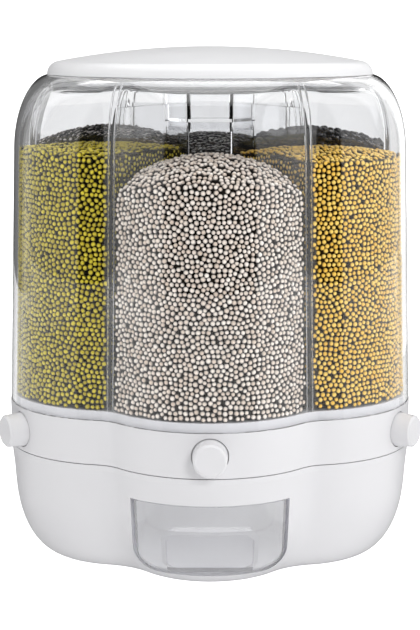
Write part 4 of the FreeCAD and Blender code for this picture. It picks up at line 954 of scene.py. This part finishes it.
def paper_material(name, glow, mirrored):
    """White paper that shows only from its front, brighter to the camera.

    Paper that isn't mirrored is dark in every reflection, so it puts no haze on clear plastic."""
    material = bpy.data.materials.new(name)
    material.use_nodes = True
    tree = material.node_tree
    shader = tree.nodes["Principled BSDF"]
    shade = 0.55 if mirrored else 0.02
    shader.inputs["Base Color"].default_value = (shade, shade, shade, 1)
    shader.inputs["Roughness"].default_value = 0.9
    shader.inputs["Emission Color"].default_value = (1, 1, 1, 1)
    path = add_node(tree, "ShaderNodeLightPath", (-600, 0))
    straight = add_node(tree, "ShaderNodeMapRange", (-400, -200))
    straight.inputs["To Min"].default_value = glow
    straight.inputs["To Max"].default_value = glow if mirrored else 0
    direct = add_node(tree, "ShaderNodeMath", (-200, 0), operation="MULTIPLY_ADD")
    direct.inputs[1].default_value = CAMERA_GLOW
    side = add_node(tree, "ShaderNodeNewGeometry", (100, 300))
    open_side = add_node(tree, "ShaderNodeBsdfTransparent", (100, -300))
    mix = add_node(tree, "ShaderNodeMixShader", (350, 0))
    tree.links.new(path.outputs["Is Camera Ray"], direct.inputs[0])
    tree.links.new(path.outputs["Glossy Depth"], straight.inputs["Value"])
    tree.links.new(straight.outputs["Result"], direct.inputs[2])
    tree.links.new(direct.outputs[0], shader.inputs["Emission Strength"])
    tree.links.new(side.outputs["Backfacing"], mix.inputs["Fac"])
    tree.links.new(shader.outputs["BSDF"], mix.inputs[1])
    tree.links.new(open_side.outputs["BSDF"], mix.inputs[2])
    tree.links.new(mix.outputs["Shader"], tree.nodes["Material Output"].inputs["Surface"])
    return material


def paper(name, bm, glow, mirrored=True):
    """A sheet of the studio's white paper."""
    mesh = finished_mesh(name, bm)
    sheet = set_out(name, mesh)
    sheet.visible_glossy = False
    mesh.materials.append(paper_material(name, glow, mirrored))
    return sheet


def paper_wall(name, side):
    """One part of the round wall: the part behind the dispenser for side 1, the rest for side -1."""
    bm = bmesh.new()
    bmesh.ops.create_circle(bm, segments=96, radius=PAPER_RADIUS)
    away = [vert for vert in bm.verts if side * (vert.co.y - WALL_SPLIT) < 0]
    bmesh.ops.delete(bm, geom=away, context="VERTS")
    made = bmesh.ops.extrude_edge_only(bm, edges=bm.edges)["geom"]
    rise = [item for item in made if isinstance(item, bmesh.types.BMVert)]
    bmesh.ops.translate(bm, vec=(0, 0, PAPER_HEIGHT), verts=rise)
    for face in bm.faces:
        face.normal_update()
        if face.normal.dot(face.calc_center_median().xy.to_3d()) > 0:
            face.normal_flip()
    wall = paper(name, bm, WALL_GLOW, side > 0)
    wall.visible_diffuse = wall.visible_shadow = False


def flag_card(name, place, aim, size):
    """A dark card that only shows through clear plastic, where it draws the edge."""
    bm = bmesh.new()
    bmesh.ops.create_grid(bm, x_segments=1, y_segments=1, size=1)
    bmesh.ops.scale(bm, vec=(*size, 1), verts=bm.verts)
    turn = (Vector(aim) - Vector(place)).to_track_quat("Z", "Y").to_matrix().to_4x4()
    bmesh.ops.transform(bm, matrix=Matrix.Translation(place) @ turn, verts=bm.verts)
    mesh = finished_mesh(name, bm)
    card = set_out(name, mesh)
    card.visible_camera = card.visible_diffuse = card.visible_glossy = card.visible_shadow = False
    material = bpy.data.materials.new(name)
    material.use_nodes = True
    shader = material.node_tree.nodes["Principled BSDF"]
    shader.inputs["Base Color"].default_value = (0.02, 0.02, 0.02, 1)
    shader.inputs["Emission Color"].default_value = (1, 1, 1, 1)
    shader.inputs["Emission Strength"].default_value = 0.2
    mesh.materials.append(material)


def softbox(name, place, aim, size, watts):
    """A rectangular softbox at a place, facing a point."""
    lamp = bpy.data.lights.new(name, "AREA")
    lamp.shape = "RECTANGLE"
    lamp.size, lamp.size_y = size
    lamp.energy = watts
    holder = set_out(name, lamp)
    holder.location = place
    holder.rotation_euler = (Vector(aim) - Vector(place)).to_track_quat("-Z", "Y").to_euler()
    return holder


def soft_surroundings(around):
    """Dim surroundings that give surfaces more light than they show in clear plastic."""
    world = bpy.data.worlds.new("studio_surroundings")
    world.use_nodes = True
    sky = world.node_tree.nodes["Background"]
    sky.inputs["Color"].default_value = (1, 1, 1, 1)
    path = add_node(world.node_tree, "ShaderNodeLightPath", (-600, 0))
    level = add_node(world.node_tree, "ShaderNodeMath", (-300, 0), operation="MULTIPLY_ADD")
    level.inputs[1].default_value = around * 3
    level.inputs[2].default_value = around
    world.node_tree.links.new(path.outputs["Is Diffuse Ray"], level.inputs[0])
    world.node_tree.links.new(level.outputs[0], sky.inputs["Strength"])
    return world


def photo_camera(lens):
    """The camera at the photograph's angle."""
    camera = bpy.data.cameras.new("camera")
    camera.lens = lens
    camera.sensor_width = 36
    holder = set_out("camera", camera)
    holder.location = (0, -1.0155, 0.3183)
    holder.rotation_euler = (math.radians(80.1), 0, 0)
    return holder


class DISPENSER_OT_set_studio(bpy.types.Operator):
    """Set up the white paper, the soft lights and the camera"""

    bl_idname = "dispenser.set_studio"
    bl_label = "Set Studio"

    def execute(self, context):
        scene = context.scene
        look = studio()
        bm = bmesh.new()
        bmesh.ops.create_circle(bm, cap_ends=True, segments=96, radius=PAPER_RADIUS)
        paper("studio_floor", bm, FLOOR_GLOW)
        paper_wall("studio_back", 1)
        paper_wall("studio_front", -1)
        flag_card("left_flag", (-0.85, 0.9, 0.4), (0, 0.05, 0.4), (0.7, 0.5))
        softbox("right_softbox", (1.1, -0.2, 0.6), (0, -0.2, 0.6), (1.8, 2.2), look.key)
        softbox("left_softbox", (-1.1, -0.2, 0.6), (0, -0.2, 0.6), (1.8, 2.2), look.fill)
        softbox("top_softbox", (0, 0.1, 1.6), (0, 0.1, 0), (1.8, 1.8), look.top)
        front = softbox("front_softbox", (0.5, -1.3, 0.72), (0, 0, 0.2), (0.45, 0.45), look.front)
        front.visible_transmission = front.visible_glossy = False
        softbox("rim_softbox", (0.85, 1.15, 0.6), (0, 0, 0.2), (0.7, 1.6), look.rim)
        scene.world = soft_surroundings(look.around)
        scene.camera = photo_camera(look.lens)
        scene.view_settings.view_transform = "Standard"
        scene.cycles.max_bounces = 48
        scene.cycles.transmission_bounces = 48
        scene.cycles.transparent_max_bounces = 32
        return {"FINISHED"}


OPERATORS = (
    DISPENSER_OT_finish_white,
    DISPENSER_OT_finish_clear,
    DISPENSER_OT_mould_shell,
    DISPENSER_OT_run_ribs,
    DISPENSER_OT_finish_small,
    DISPENSER_OT_wind_springs,
    DISPENSER_OT_fill_front,
    DISPENSER_OT_fill_back,
    DISPENSER_OT_set_studio,
)


class DISPENSER_PT_panel(bpy.types.Panel):
    """The dispenser's steps, in the order in which they run"""

    bl_idname = "DISPENSER_PT_panel"
    bl_label = "Grain Dispenser"
    bl_space_type = "VIEW_3D"
    bl_region_type = "UI"
    bl_category = "Dispenser"

    def draw(self, context):
        for operator in OPERATORS:
            self.layout.operator(operator.bl_idname)


GROUPS = {
    "dispenser_sizes": DispenserSizes,
    "grain_looks": GrainLooks,
    "plastic_looks": PlasticLooks,
    "studio_settings": StudioSettings,
}


def register():
    for kind in (*GROUPS.values(), *OPERATORS, DISPENSER_PT_panel):
        bpy.utils.register_class(kind)
    for name, kind in GROUPS.items():
        setattr(bpy.types.Scene, name, PointerProperty(type=kind))


def unregister():
    for name in GROUPS:
        delattr(bpy.types.Scene, name)
    for kind in reversed((*GROUPS.values(), *OPERATORS, DISPENSER_PT_panel)):
        bpy.utils.unregister_class(kind)


def main():
    register()
    for operator in OPERATORS:
        group, name = operator.bl_idname.split(".")
        getattr(getattr(bpy.ops, group), name)()


if __name__ == "__main__":
    main()
